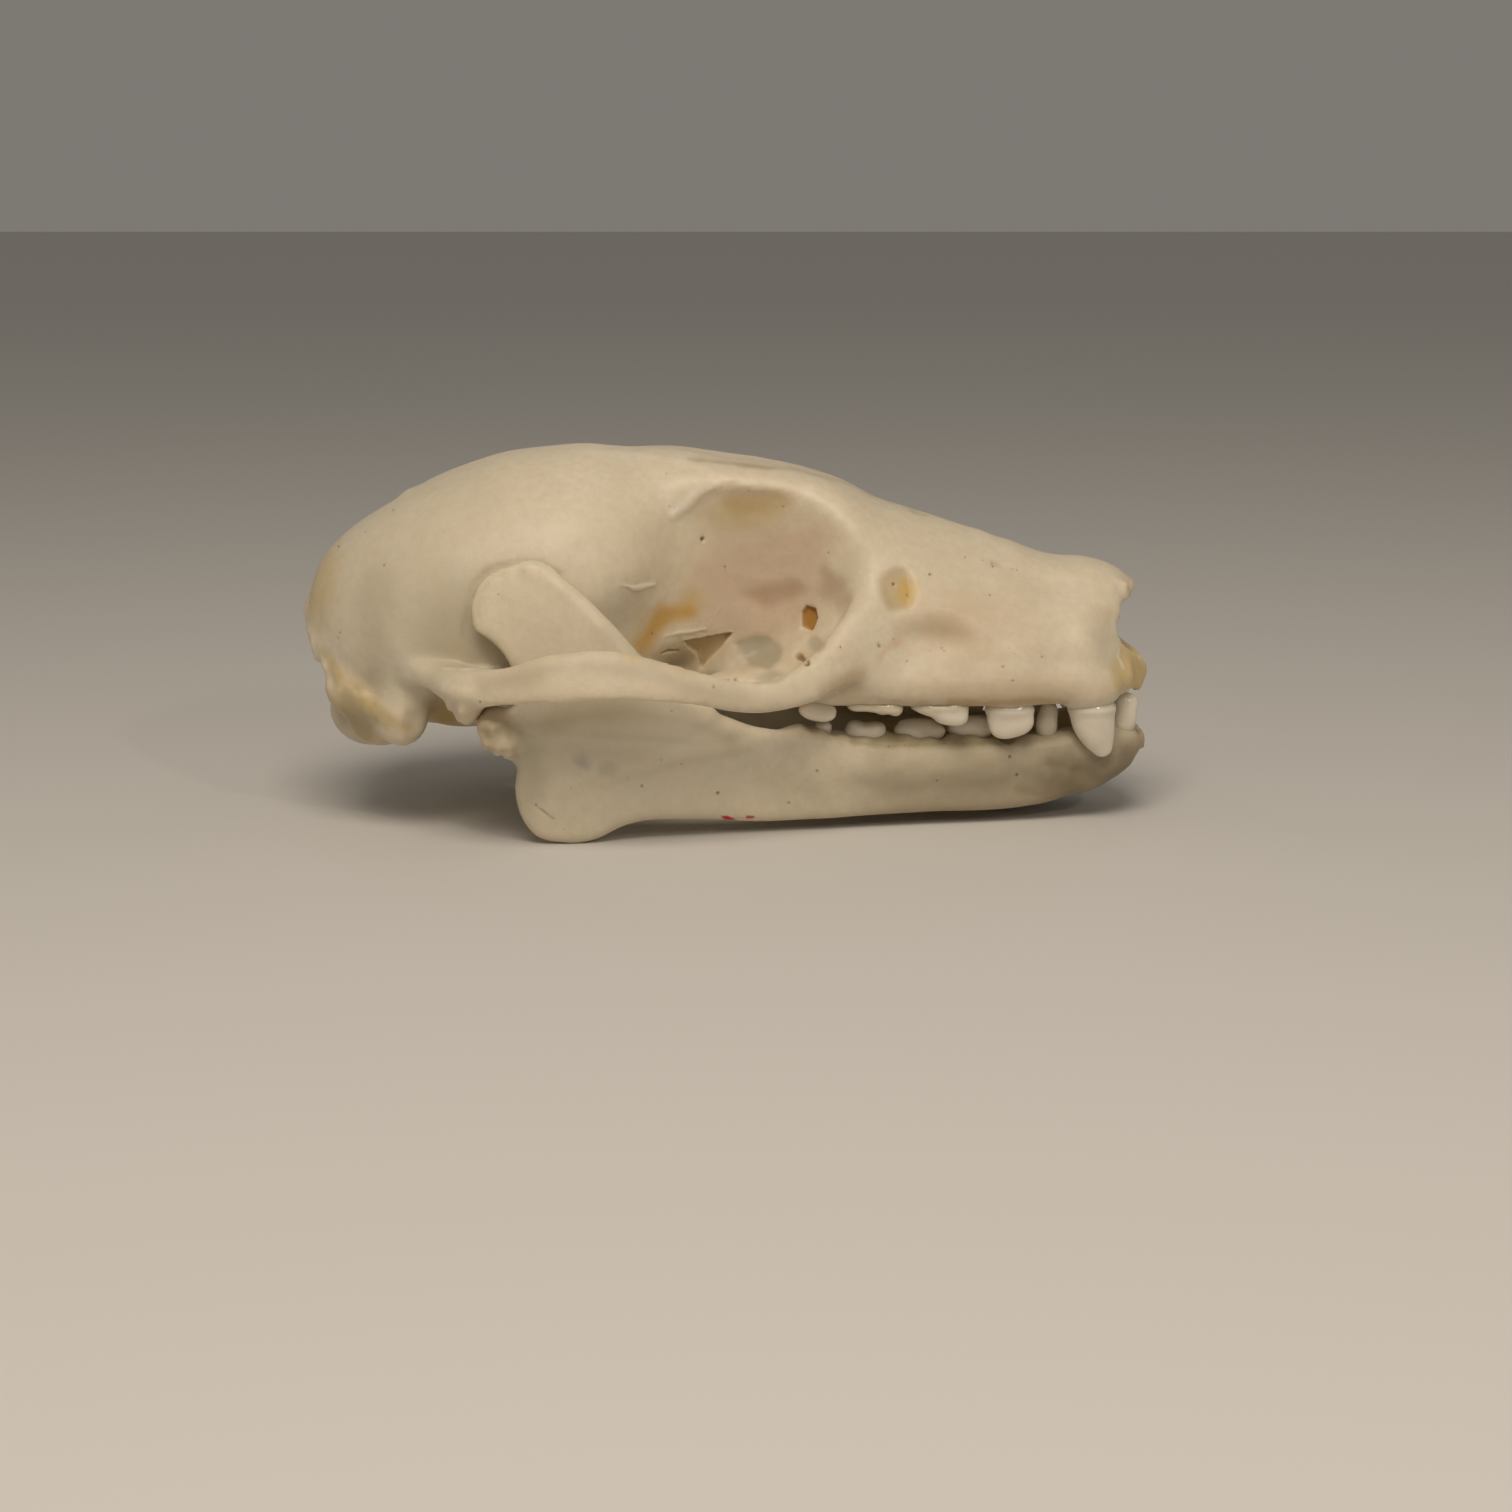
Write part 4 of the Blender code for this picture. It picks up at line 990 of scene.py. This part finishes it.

# %% [markdown]
# ### Washes and pores
#
# Washes come first, because they are the widest. A braincase is greyer than a snout, since its thin
# bone lets its dark inside through, and bone that held fat or cartilage is olive or tan. Inside the
# mouth the olive is kept light, as painted light where the mouth lies in shade. Some washes are
# painted shade instead: the shade above the teeth and the darkening of the jaw's front and chin. A
# pore is a hole for a small blood vessel, drawn as a dark dot of painted shade about a tenth of a
# millimetre wide.

# %% Washes
# Each wash: what it is, centre and radii in mm, colour, strength.
CRANIUM_WASHES = (
    ("greyer braincase", (-13.0, 6.0, 10.0), (9.5, 6.0, 8.5), "#c3bba7", 0.4),
    ("tan back of the skull", (-19.6, 3.0, 11.8), (2.2, 4.0, 3.2), "#c8ac70", 0.5),
    ("grey thin side", (-11.6, 7.8, 9.8), (5.0, 3.0, 4.0), "#b0a58a", 0.5),
    ("grey band behind", (-16.6, 6.6, 11.0), (1.6, 2.6, 4.2), "#aea287", 0.35),
    ("wall of the eye socket", (1.6, 3.0, 11.6), (5.4, 2.8, 4.4), "#b8967a", 0.5),
    ("yellow roof of the socket", (1.0, 3.9, 15.0), (3.0, 1.8, 1.4), "#cdb070", 0.45),
    ("pinkish roof in front", (3.6, 4.2, 14.0), (2.4, 2.0, 1.8), "#c49c7c", 0.5),
    ("grey floor of the socket", (1.0, 4.4, 8.2), (3.6, 2.2, 1.6), "#b3a48a", 0.4),
    ("olive ear region", (-13.3, 4.6, 5.9), (2.0, 3.0, 1.7), "#a08436", 0.85),
    ("tan rim of the nape", (-17.4, 5.4, 5.8), (3.0, 1.8, 2.4), "#b29453", 0.7),
    ("grey condyle", (-18.2, 3.0, 5.2), (2.2, 1.8, 2.0), "#b0a78f", 0.5),
    # Painted light: the palate gets a light olive where the mouth lies in shade.
    ("olive palate lit by painted light", (9.0, 0.0, 6.6), (13.0, 5.0, 2.4), "#cbb26c", 0.7),
    ("olive nose", (14.0, 0.0, 9.8), (7.2, 3.4, 2.6), "#8c7846", 0.6),
    ("yellow front of the palate", (20.2, 0.8, 7.4), (1.7, 3.2, 2.6), "#dcc592", 0.7),
    ("shade above the teeth", (11.0, 5.4, 6.9), (11.0, 2.0, 1.5), "#b2987a", 0.5),
    ("warm side of the snout", (11.0, 4.6, 9.6), (5.6, 2.2, 3.0), "#cbaa88", 0.35),
    ("root of the cheek arch", (4.6, 6.2, 8.4), (2.6, 2.0, 1.8), "#bfa27c", 0.4),
    ("hinge", (-11.8, 9.2, 6.8), (1.8, 2.4, 1.2), "#b79c72", 0.45),
)
JAW_WASHES = (
    ("greyer rear half", (-4.0, 8.0, 5.5), (11.0, 5.0, 8.0), "#c2bbaa", 0.45),
    ("grey muscle hollow", (-5.0, 9.2, 5.6), (6.4, 3.0, 4.0), "#b0a68c", 0.4),
    # A darker tone and painted shade: the jaw's front half and its chin are darkened, partly for
    # dirt and partly for the shade beneath them.
    ("darker tone and painted shade on the front half", (13.0, 3.4, 1.4), (15.0, 5.0, 5.0), "#8b7d60", 0.65),
    ("dirt and painted shade on the chin", (18.0, 1.2, 2.2), (5.6, 4.4, 3.2), "#665737", 0.85),
    ("grey tooth line", (9.0, 4.4, 4.4), (9.0, 1.8, 0.9), "#93855f", 0.6),
    # Painted light: the jaw's inner face gets a light olive where the mouth lies in shade.
    ("olive inner jaw lit by painted light", (9.0, 1.4, 3.2), (14.0, 2.2, 3.0), "#d0b25e", 0.8),
    ("hinge", (-10.8, 9.2, 5.4), (1.6, 2.2, 1.6), "#af9468", 0.55),
    ("grey heel", (-9.4, 9.0, 3.2), (1.4, 1.8, 3.0), "#9d947e", 0.45),
    ("tan tip", (20.2, 0.8, 3.6), (1.2, 2.0, 1.4), "#a98c5c", 0.6),
)
print("washes:", len(CRANIUM_WASHES), "and", len(JAW_WASHES))

# %% Pores
CRANIUM_PORES = (
    (346, 630), (340, 633), (338, 638), (374, 704), (365, 532), (393, 510), (441, 479), (338, 546),
    (384, 565), (480, 702), (655, 485), (666, 473), (675, 473), (682, 472), (749, 491), (783, 507),
    (725, 567), (828, 553), (652, 634), (728, 680), (735, 679), (841, 647), (894, 583), (908, 594),
    (965, 557), (983, 560), (992, 563), (993, 566), (1013, 569), (1017, 570), (930, 574),
    (990, 595), (894, 639), (879, 646), (930, 651), (942, 648), (944, 651), (1009, 649),
    (1042, 657), (1003, 667), (1013, 681), (907, 661), (467, 488), (714, 687),
)
JAW_PORES = (
    (508, 722), (571, 788), (579, 784), (528, 801), (536, 805), (645, 750), (661, 760), (681, 764),
    (627, 778), (642, 786), (630, 810), (672, 711), (498, 595), (718, 793), (564, 829), (905, 745),
    (909, 749), (937, 781), (870, 795), (789, 803), (817, 771), (944, 743), (919, 742), (889, 746),
    (1010, 757), (1004, 766), (954, 786), (1017, 775), (671, 711),
)
print("pores:", len(CRANIUM_PORES), "and", len(JAW_PORES))

# %% [markdown]
# ### The back of the skull
#
# The nape is tan and spongy where muscles held, and a darker line of dirt and painted shadow runs
# round the blade of the jaw, where it lies close to the braincase.

# %% Marks on the back of the skull
BACK_MARKS = (
    ("grey window", oval((372, 674), 6, 14, 10), 0, 9, "#b9ae96", 0.25, -0.02),
    ("crest behind", ((375, 595), (390, 630), (410, 665), (440, 690)), 2, 18, "#d9cfb8", 0.2, 0.06),
    ("tan edge of the nape", ((322, 652), (335, 669), (348, 682), (361, 697), (376, 709),
     (391, 720), (406, 727)), 6, 12, "#b0985e", 0.6, 0.03),
    ("grey condyle", ((338, 695), (345, 688), (365, 705), (377, 725), (372, 742), (355, 737),
     (342, 725), (338, 695)), 0, 9, "#978e72", 0.45),
    # Dirt and painted shadow: a darker line on the braincase along the gap beside the jaw's blade.
    ("dried skin round the jaw blade", ((463, 635), (465, 600), (474, 580), (490, 567), (515, 560),
     (542, 562), (560, 573)), 1.5, 6, "#a8946c", 0.5),
)
print("marks on the back:", len(BACK_MARKS))

# %% [markdown]
# ### Brow and eye socket
#
# The rim of the socket is thin and pale, and its roof is so thin that it glows yellow. The corner
# of the brow and the band under its rim are also painted lighter, as painted light where the rim is
# lit.
# Raised strokes make the ridges in the wall, and pressed shapes the hollows between them.

# %% Marks on the brow and in the socket
SOCKET_MARKS = (
    ("edge of the brow", ((590, 451), (640, 455), (690, 464), (716, 474), (700, 486), (678, 503),
     (668, 507)), 1, 9, "#e2d8c4", 0.5, 0.05),
    ("brow line", ((690, 459), (745, 464), (800, 470), (850, 484), (895, 502), (925, 514)), 1.0, 6,
     "#a08c66", 0.6, -0.04),
    ("upper brow line", ((745, 458), (790, 464), (840, 476), (880, 492)), 1.0, 6, "#a08c66", 0.5,
     -0.03),
    # Pale bone and painted light: the brow's corner and the band beneath its rim are lightened as
    # if lit.
    ("pale corner of the brow", ((672, 514), (686, 504), (700, 493), (716, 484)), 4, 9, "#f0e7d6",
     0.7, 0.12),
    ("pale band under the brow", ((722, 486), (770, 486), (808, 490)), 3, 10, "#e9dfcc", 0.5),
    ("blob in the yellow roof", ((728, 503), (752, 497), (782, 492), (790, 502), (770, 516),
     (742, 518), (728, 503)), 0, 22, "#c09c58", 0.5),
    ("brown hollows in the socket", ((748, 594), (770, 584), (795, 583), (803, 590), (790, 602),
     (765, 604), (748, 594)), 0, 14, "#9d7654", 0.45, -0.05),
    ("brown hollow in front", ((822, 568), (842, 580), (850, 602), (838, 612), (824, 598),
     (822, 568)), 0, 16, "#a07a5a", 0.4, -0.05),
    ("ridge in the socket", ((735, 572), (762, 577), (790, 574), (812, 582)), 2, 14, "#d2bfa6",
     0.35, 0.05),
    ("second ridge", ((806, 612), (796, 636), (790, 660)), 2, 10, "#d2bfa6", 0.35, 0.06),
)
print("marks on the brow and in the socket:", len(SOCKET_MARKS))

# %% [markdown]
# ### The torn bone
#
# On the right side a piece of thin bone has been torn in. The tear is a filled shape that is
# pressed in and tinted tan, a little darker than the bone, and narrow raised strokes beside it
# catch the light as its broken lips. The tan of the tear and of the broken bone round it is kept
# light, as painted light that lifts the shade of the hollow.

# %% Marks of the torn bone
TEAR_MARKS = (
    ("rust stain", ((631, 645), (640, 632), (654, 617), (663, 607), (676, 604), (690, 607),
     (694, 614), (680, 621), (668, 626), (658, 634), (650, 648), (640, 652), (631, 645)), 0, 13,
     "#c98f18", 0.75, 0.0, RIGHT),
    ("rust haze", ((634, 650), (652, 622), (690, 606)), 12, 22, "#c2a050", 0.5, 0.0, RIGHT),
    # Painted light: the broken bone and the tear get a light tan that lifts the shade of the
    # hollow.
    ("torn bone", ((652, 660), (664, 646), (690, 638), (712, 634), (734, 632), (722, 650),
     (700, 672), (676, 668), (652, 660)), 0, 9, "#cbb68e", 0.6, -0.03, RIGHT),
    ("tear", ((684, 641), (706, 637), (732, 633), (722, 646), (701, 668), (697, 654), (684, 641)),
     0, 2.2, "#c2a67a", 0.85, -0.26, RIGHT),
    # Painted shade: a dark line that stands for the depth of the narrow crack.
    ("slit", ((662, 654), (668, 651), (678, 651)), 0.8, 2.2, "#5d4a2c", 0.8, -0.12, RIGHT),
    ("edge of the tear", ((666, 636), (678, 633), (690, 632), (704, 629)), 0.8, 3.0, "#dccfb4", 0.7,
     0.06, RIGHT),
    ("crease above the tear", ((706, 630), (714, 618), (720, 607)), 0.5, 3.0, "#d0bd9c", 0.5, 0.03,
     RIGHT),
    ("lip of the tear", ((684, 640), (706, 636), (732, 632)), 0.7, 2.4, "#e2d6bd", 0.6, 0.05,
     RIGHT),
    ("flake", ((617, 585), (628, 587), (632, 591), (640, 590), (650, 587), (657, 584), (650, 583),
     (638, 585), (628, 585), (617, 585)), 0, 2.4, "#e6dcc6", 0.75, 0.07, RIGHT),
)
print("marks of the torn bone:", len(TEAR_MARKS))

# %% [markdown]
# ### Windows and nerve holes
#
# Nerves and vessels pass through round holes in front of the eye, and between them are windows of
# very thin grey bone. A hole is only pressed in a little: its dark colour is painted shade that
# stands for its depth.

# %% Windows and holes
HOLE_MARKS = (
    ("oval window", ((737, 642), (750, 634), (770, 634), (779, 645), (780, 660), (768, 668),
     (750, 664), (742, 655), (737, 642)), 0, 6, "#9c947c", 0.65, -0.04),
    ("low oval window", oval((770, 677), 17, 5, -8), 0, 6, "#aaa38c", 0.5, -0.03),
    ("small oval window", oval((817, 644), 9, 8), 0, 5, "#aca48c", 0.6, -0.04),
    # Painted shade: the next four holes are dark to stand for their depth.
    ("foramen in the socket", ((802, 612), (806, 606), (816, 608), (818, 618), (812, 629),
     (803, 626), (802, 612)), 0, 3.0, "#ab7a22", 0.95, -0.26),
    ("nerve hole", oval((799, 656), 4.5, 3, 40), 0, 3, "#8c6a38", 0.8, -0.2),
    ("lower nerve hole", oval((806, 662), 4, 3, 40), 0, 3, "#8c6836", 0.8, -0.2),
    ("hole in the socket wall", ((703, 539), (703, 540)), 1.6, 2.6, "#6a573e", 0.85, -0.15, RIGHT),
    ("cheek foramen", oval((897, 590), 22, 18, 70), 0, 9, "#bba276", 0.75, -0.14),
    ("yellow in the foramen", oval((907, 590), 16, 10, 80), 0, 15, "#cca646", 0.8),
)
print("windows and holes:", len(HOLE_MARKS))

# %% [markdown]
# ### Snout, cheek arch and jaw

# %% Marks on the snout and the cheek arch
SNOUT_MARKS = (
    ("pink streak", ((880, 660), (888, 650), (898, 643)), 2, 12, "#c4966a", 0.4, -0.03, RIGHT),
    # Painted shade: the shallow hollow in front of the cheek foramen is darkened as if shaded.
    ("long hollow", ((906, 632), (930, 628), (968, 636)), 4, 26, "#ae946e", 0.4, -0.07),
    # Painted shade: the bone beneath the cheek arch's root is darkened where the arch shades it.
    ("root of the arch", oval((842, 682), 26, 8, -22), 0, 20, "#a88e68", 0.55),
    ("duller arch", ((486, 686), (571, 663), (643, 668), (704, 693), (764, 711), (813, 699)), 8, 18,
     "#b9ad93", 0.5),
    # Painted shade: the concave flank beside the nostril is darkened.
    ("side of the nose", ((1108, 612), (1110, 640)), 4, 20, "#a8946e", 0.45),
    ("brown blotch", ((1012, 652), (1018, 656)), 2, 6, "#9a8352", 0.45, 0.0, RIGHT),
    ("pit on the snout", ((990, 560), (998, 566)), 1.0, 5, "#b59c78", 0.4, -0.05, RIGHT),
    # Brown bone and painted shadow: a darker line along the margin just above the upper teeth.
    ("bone edge over the molars", ((880, 699), (906, 702), (930, 703)), 2, 7, "#a98f5c", 0.5),
    ("bone edge over the premolars", ((950, 703), (985, 703), (1030, 702), (1066, 703)), 2, 7,
     "#a98c50", 0.55),
    ("yellow premaxilla", ((1111, 668), (1117, 652), (1122, 638), (1134, 648), (1144, 660),
     (1150, 674), (1148, 688), (1136, 694), (1122, 694), (1113, 687), (1111, 668)), 0, 9, "#cdb070",
     0.65),
    # A pale crack that also serves as a painted highlight on the premaxilla.
    ("crack beside the canine", ((1122, 640), (1118, 656), (1124, 668)), 0.8, 3, "#e8dcc0", 0.6,
     0.03, RIGHT),
    ("rim of the nose", ((1122, 566), (1130, 576), (1130, 592)), 2, 8, "#b8977a", 0.5),
    ("rust dot", ((669, 506),), 1.0, 2.6, "#a85a38", 0.6, 0.0, RIGHT),
    ("second rust dot", ((674, 508),), 0.8, 2.4, "#a85a38", 0.6, 0.0, RIGHT),
    # Painted highlight: pale specks on tiny bumps along the top of the cheek arch's root stand for
    # glints.
    ("bone crumbs at the arch root", ((444, 669), (468, 669), (500, 667)), 0.8, 3, "#e9dfc9", 0.5,
     0.05),
)
print("marks on the snout and the arch:", len(SNOUT_MARKS))

# %% Marks on the jaw
JAW_MARKS = (
    ("bright front border", ((553, 579), (581, 606), (610, 636), (636, 663)), 2, 8, "#e4dac6",
     0.45),
    ("rim of the blade", ((506, 662), (490, 640), (478, 612), (480, 592), (494, 577), (514, 570),
     (540, 571)), 1, 5, "#b3a17a", 0.4),
    ("blue-grey patch", ((573, 760), (584, 758), (592, 764), (588, 772), (577, 770), (573, 760)), 0,
     9, "#8c8c8c", 0.45, 0.0, RIGHT),
    ("second blue-grey patch", ((596, 764), (612, 760), (620, 768), (612, 776), (600, 774),
     (596, 764)), 0, 7, "#8f8f8a", 0.45, 0.0, RIGHT),
    ("ridge of the jaw angle", ((600, 777), (640, 768), (700, 752), (750, 745)), 5, 16, "#cfc2a8",
     0.35, 0.1),
    ("shade under the arch", ((490, 730), (560, 722), (620, 712), (680, 720), (730, 738)), 5, 24,
     "#96865f", 0.4),
    ("scratch", ((535, 806), (543, 811), (553, 819)), 0.7, 2.2, "#a08a62", 0.6, -0.06, RIGHT),
    ("red ink", ((720, 816), (728, 815), (734, 819), (727, 821), (720, 816)), 0, 2, "#c01020", 1.0,
     0.0, RIGHT),
    ("second red ink", ((747, 817), (754, 817)), 0.8, 2, "#b82028", 0.9, 0.0, RIGHT),
    ("pits of the tooth line", ((850, 742), (890, 746), (930, 744), (970, 743), (1002, 742)), 1.5,
     5, "#8d7f5c", 0.35, -0.04),
    ("rust by the teeth", ((996, 737), (1004, 740)), 1.5, 4, "#a0602c", 0.5, 0.0, RIGHT),
    # Painted shade: small dark pits on the front of the jaw, pressed in a little.
    ("chin pits", ((1050, 764), (1062, 766), (1076, 771)), 1.5, 9, "#857048", 0.4, -0.05),
    ("lower chin stain", ((1016, 788), (1040, 794), (1062, 788)), 3, 10, "#857250", 0.45),
)
print("marks on the jaw:", len(JAW_MARKS))

# %% [markdown]
# A crisp mark needs more points than the clay gave the mesh, so the faces under crisp marks and
# pores are split before anything is brushed on.

# %% Brush the marks on
CRISP = 3.5  # pixels; a softer mark needs no finer faces
CRISP_MARGIN = 2
# A pore's dark dot is painted shade that stands for the depth of its tiny hole.
PORE_SHADE = (0.5, 2.4, "#56432c", 0.75, -0.06, RIGHT)
PORE_REACH = 5.0


def finish_surface(piece, washes, marks, pores):
    """Brushes the washes, the marks and the pores on, in that order."""
    painter = Painter(piece)
    marks = [Mark(*row) for row in marks]
    crisp = [(mark.path, mark.half_width + mark.soft + CRISP_MARGIN, side)
             for mark in marks if mark.soft < CRISP for side in mark.sides]
    painter.refine(crisp + [((pore,), PORE_REACH, 1) for pore in pores])
    for _, centre, radii, colour, strength in washes:
        painter.wash(centre, radii, colour, strength)
    for mark in marks + [Mark("pore", (pore,), *PORE_SHADE) for pore in pores]:
        for side in mark.sides:
            painter.draw(mark, side)
    painter.write()
    print(piece.name, "has", triangles_in(piece.data), "triangles")


cranium_marks = BACK_MARKS + SOCKET_MARKS + TEAR_MARKS + HOLE_MARKS + SNOUT_MARKS
finish_surface(cranium, CRANIUM_WASHES, cranium_marks, CRANIUM_PORES)
finish_surface(jaw, JAW_WASHES, JAW_MARKS, JAW_PORES)

# %% Rest the jaw on the floor
# The lumps and marks moved a few points just below the floor, z = 0, so they go back up to it.
resting = points_of(jaw.data)
print("lowest point of the jaw in mm:", round(float(resting[:, 2].min()), 3))
resting[:, 2] = np.maximum(resting[:, 2], 0)
jaw.data.vertices.foreach_set("co", (resting * MM).ravel())

# %% [markdown]
# ## Materials
#
# A material is a small graph of nodes that ends in a shader. Noise nodes give it an even kind of
# irregularity all over, and each noise is scaled from the real size of what it stands for.

# %% Helpers for materials
# A Mix node lists its hidden number and vector inputs first, so its two colours are inputs 6 and
# 7, and the mixed colour is output 2.
FIRST, SECOND, MIXED = 6, 7, 2


def set_inputs(tree, target, inputs):
    """Gives each input its number or colour, or links it if it is given another node's output."""
    for name, value in inputs.items():
        if isinstance(value, bpy.types.NodeSocket):
            tree.links.new(value, target.inputs[name])
        else:
            target.inputs[name].default_value = value


def node(tree, kind, inputs, **settings):
    """Adds a node with its settings, values and links."""
    made = tree.nodes.new(kind)
    for name, value in settings.items():
        setattr(made, name, value)
    set_inputs(tree, made, inputs)
    return made


def new_material(name):
    """Makes a material, and gives it with its graph and its shader."""
    material = bpy.data.materials.new(name)
    material.use_nodes = True
    return material, material.node_tree, material.node_tree.nodes["Principled BSDF"]


def per_mm(millimetres):
    """The scale of a noise whose lumps are this many millimetres across."""
    return 1 / (millimetres * MM)


print("a noise with lumps of 0.5 mm has a scale of", per_mm(0.5))

# %% [markdown]
# ### Dry bone
#
# Cleaned bone is a white mineral with a little fat and glue left in it, so it is warm ivory,
# slightly waxy, and lets light in for about a millimetre. Its surface is smooth to the finger, with
# a fine grain and a broken gloss.
#
# Wide clouds, 4.5 mm across, shift the ivory and the gloss. A mottle of half a millimetre stands
# for the spongy bone under the surface. The true grain is finer than a pixel, so it is drawn 0.16
# mm wide, about three pixels, so that it shows. The colour that the brushes left, real stains
# together with painted shade and painted light, lies over all of them.

# %% Dry bone
def dry_bone():
    material, tree, shader = new_material("dry_bone")
    place = node(tree, "ShaderNodeTexCoord", {}).outputs["Object"]
    # The brushed layer mixes real stains with painted shade and painted light.
    stain = node(tree, "ShaderNodeAttribute", {}, attribute_name="stain").outputs
    clouds = node(tree, "ShaderNodeTexNoise",
                  {"Vector": place, "Scale": per_mm(4.5), "Detail": 3.0}).outputs["Fac"]
    mottle = node(tree, "ShaderNodeTexNoise", {
        "Vector": place, "Scale": per_mm(0.5), "Detail": 5.0, "Roughness": 0.6}).outputs["Fac"]
    grain = node(tree, "ShaderNodeTexNoise",
                 {"Vector": place, "Scale": per_mm(0.16), "Detail": 3.0}).outputs["Fac"]
    ivory = node(tree, "ShaderNodeMix", {
        "Factor": clouds, FIRST: BONE_COLOUR, SECOND: linear("#e6dcc6")}, data_type="RGBA")
    spots = node(tree, "ShaderNodeMapRange", {
        "Value": mottle, "From Min": 0.3, "From Max": 0.7, "To Min": 0.0, "To Max": 0.45})
    mottled = node(tree, "ShaderNodeMix", {
        "Factor": spots.outputs["Result"], FIRST: ivory.outputs[MIXED], SECOND: linear("#cbbb9e"),
    }, data_type="RGBA")
    stained_and_shaded = node(tree, "ShaderNodeMix", {
        "Factor": stain["Alpha"], FIRST: mottled.outputs[MIXED], SECOND: stain["Color"],
    }, data_type="RGBA")
    gloss = node(tree, "ShaderNodeMapRange", {
        "Value": clouds, "From Min": 0.3, "From Max": 0.7, "To Min": 0.42, "To Max": 0.58})
    fine = node(tree, "ShaderNodeBump", {"Height": grain, "Strength": 0.3, "Distance": 0.02 * MM})
    coarse = node(tree, "ShaderNodeBump", {
        "Height": mottle, "Normal": fine.outputs["Normal"],
        "Strength": 0.45, "Distance": 0.06 * MM})
    set_inputs(tree, shader, {
        "Base Color": stained_and_shaded.outputs[MIXED],
        "Roughness": gloss.outputs["Result"],
        "Normal": coarse.outputs["Normal"],
        "IOR": 1.5,
        "Subsurface Weight": 0.45,
        "Subsurface Radius": (1.0, 0.62, 0.34),
        "Subsurface Scale": 0.9 * MM,
        "Coat Weight": 0.06,
        "Coat Roughness": 0.2,
    })
    return material


bone_material = dry_bone()
for piece in (cranium, jaw):
    piece.data.materials.append(bone_material)
print("nodes in", bone_material.name, len(bone_material.node_tree.nodes))

# %% [markdown]
# ### Enamel
#
# Enamel is glassy and clearer than bone, over dentine that is creamier. So the tips of the teeth
# are bluish white, and the necks near the bone are yellower and darker: partly the creamier
# dentine and partly painted shade under the bone's edge. A growing tooth leaves ripples in its
# enamel that are finer than a pixel. They are drawn 0.35 mm wide, so that the gloss breaks up a
# little.

# %% Tooth enamel
def tooth_enamel():
    material, tree, shader = new_material("tooth_enamel")
    place = node(tree, "ShaderNodeTexCoord", {}).outputs["Object"]
    neck = node(tree, "ShaderNodeAttribute", {}, attribute_name="neck").outputs["Fac"]
    clouds = node(tree, "ShaderNodeTexNoise",
                  {"Vector": place, "Scale": per_mm(0.9), "Detail": 3.0}).outputs["Fac"]
    ripple = node(tree, "ShaderNodeTexNoise",
                  {"Vector": place, "Scale": per_mm(0.35), "Detail": 2.0}).outputs["Fac"]
    cream = node(tree, "ShaderNodeMix", {
        "Factor": clouds, FIRST: linear("#d6cbb5"), SECOND: linear("#ede6d8")}, data_type="RGBA")
    # The necks are creamier dentine and also painted shade where the bone's edge hangs over them.
    creamier_and_shaded_neck = node(tree, "ShaderNodeMix", {
        "Factor": neck, FIRST: cream.outputs[MIXED], SECOND: linear("#b8a884")}, data_type="RGBA")
    bump = node(tree, "ShaderNodeBump", {"Height": ripple, "Strength": 0.25, "Distance": 0.04 * MM})
    set_inputs(tree, shader, {
        "Base Color": creamier_and_shaded_neck.outputs[MIXED],
        "Normal": bump.outputs["Normal"],
        "Roughness": 0.2,
        "IOR": 1.62,
        "Subsurface Weight": 0.5,
        "Subsurface Radius": (0.9, 0.7, 0.5),
        "Subsurface Scale": 0.6 * MM,
    })
    return material


enamel_material = tooth_enamel()
for tooth in teeth:
    tooth.data.materials.append(enamel_material)
print("nodes in", enamel_material.name, len(enamel_material.node_tree.nodes))

# %% [markdown]
# ## Floor and light
#
# A small thing is lit with soft boxes, and Blender's area light is one: a glowing square, and the
# larger it is, the softer are the shadows. The large key light stands above the skull on the
# camera's side. The small lamp on the right only adds a sparkle to the enamel, and the pale room
# fills the shadows.

# %% Pale floor
FLOOR_SIZE = 3.0

bpy.ops.mesh.primitive_plane_add(size=FLOOR_SIZE)
floor = bpy.context.object
floor.name = "floor"
floor_material, floor_tree, floor_shader = new_material("pale_floor")
set_inputs(floor_tree, floor_shader, {"Base Color": linear("#d6d3ce"), "Roughness": 0.8})
floor.data.materials.append(floor_material)
print("floor:", FLOOR_SIZE, "m wide")

# %% Studio light
SKULL_MIDDLE = Vector((0, 0, 8))

world = bpy.data.worlds.new("soft_room")
bpy.context.scene.world = world
world.use_nodes = True
set_inputs(world.node_tree, world.node_tree.nodes["Background"],
           {"Color": linear("#eae4da"), "Strength": 0.25})


def soft_light(name, place, energy, size, colour):
    """A square soft box that faces the skull. Place and size are in millimetres."""
    data = bpy.data.lights.new(name, "AREA")
    data.energy = energy
    data.size = size * MM
    data.color = linear(colour)[:3]
    light = bpy.data.objects.new(name, data)
    bpy.context.scene.collection.objects.link(light)
    light.location = Vector(place) * MM
    light.rotation_euler = (SKULL_MIDDLE - Vector(place)).to_track_quat("-Z", "Y").to_euler()


soft_light("key_light", (-10, -145, 195), 0.33, 120, "#fff2e2")
soft_light("lamp", (105, -180, 120), 0.04, 10, "#fff5e8")
bpy.context.scene.view_settings.view_transform = "Standard"
print("lights done")
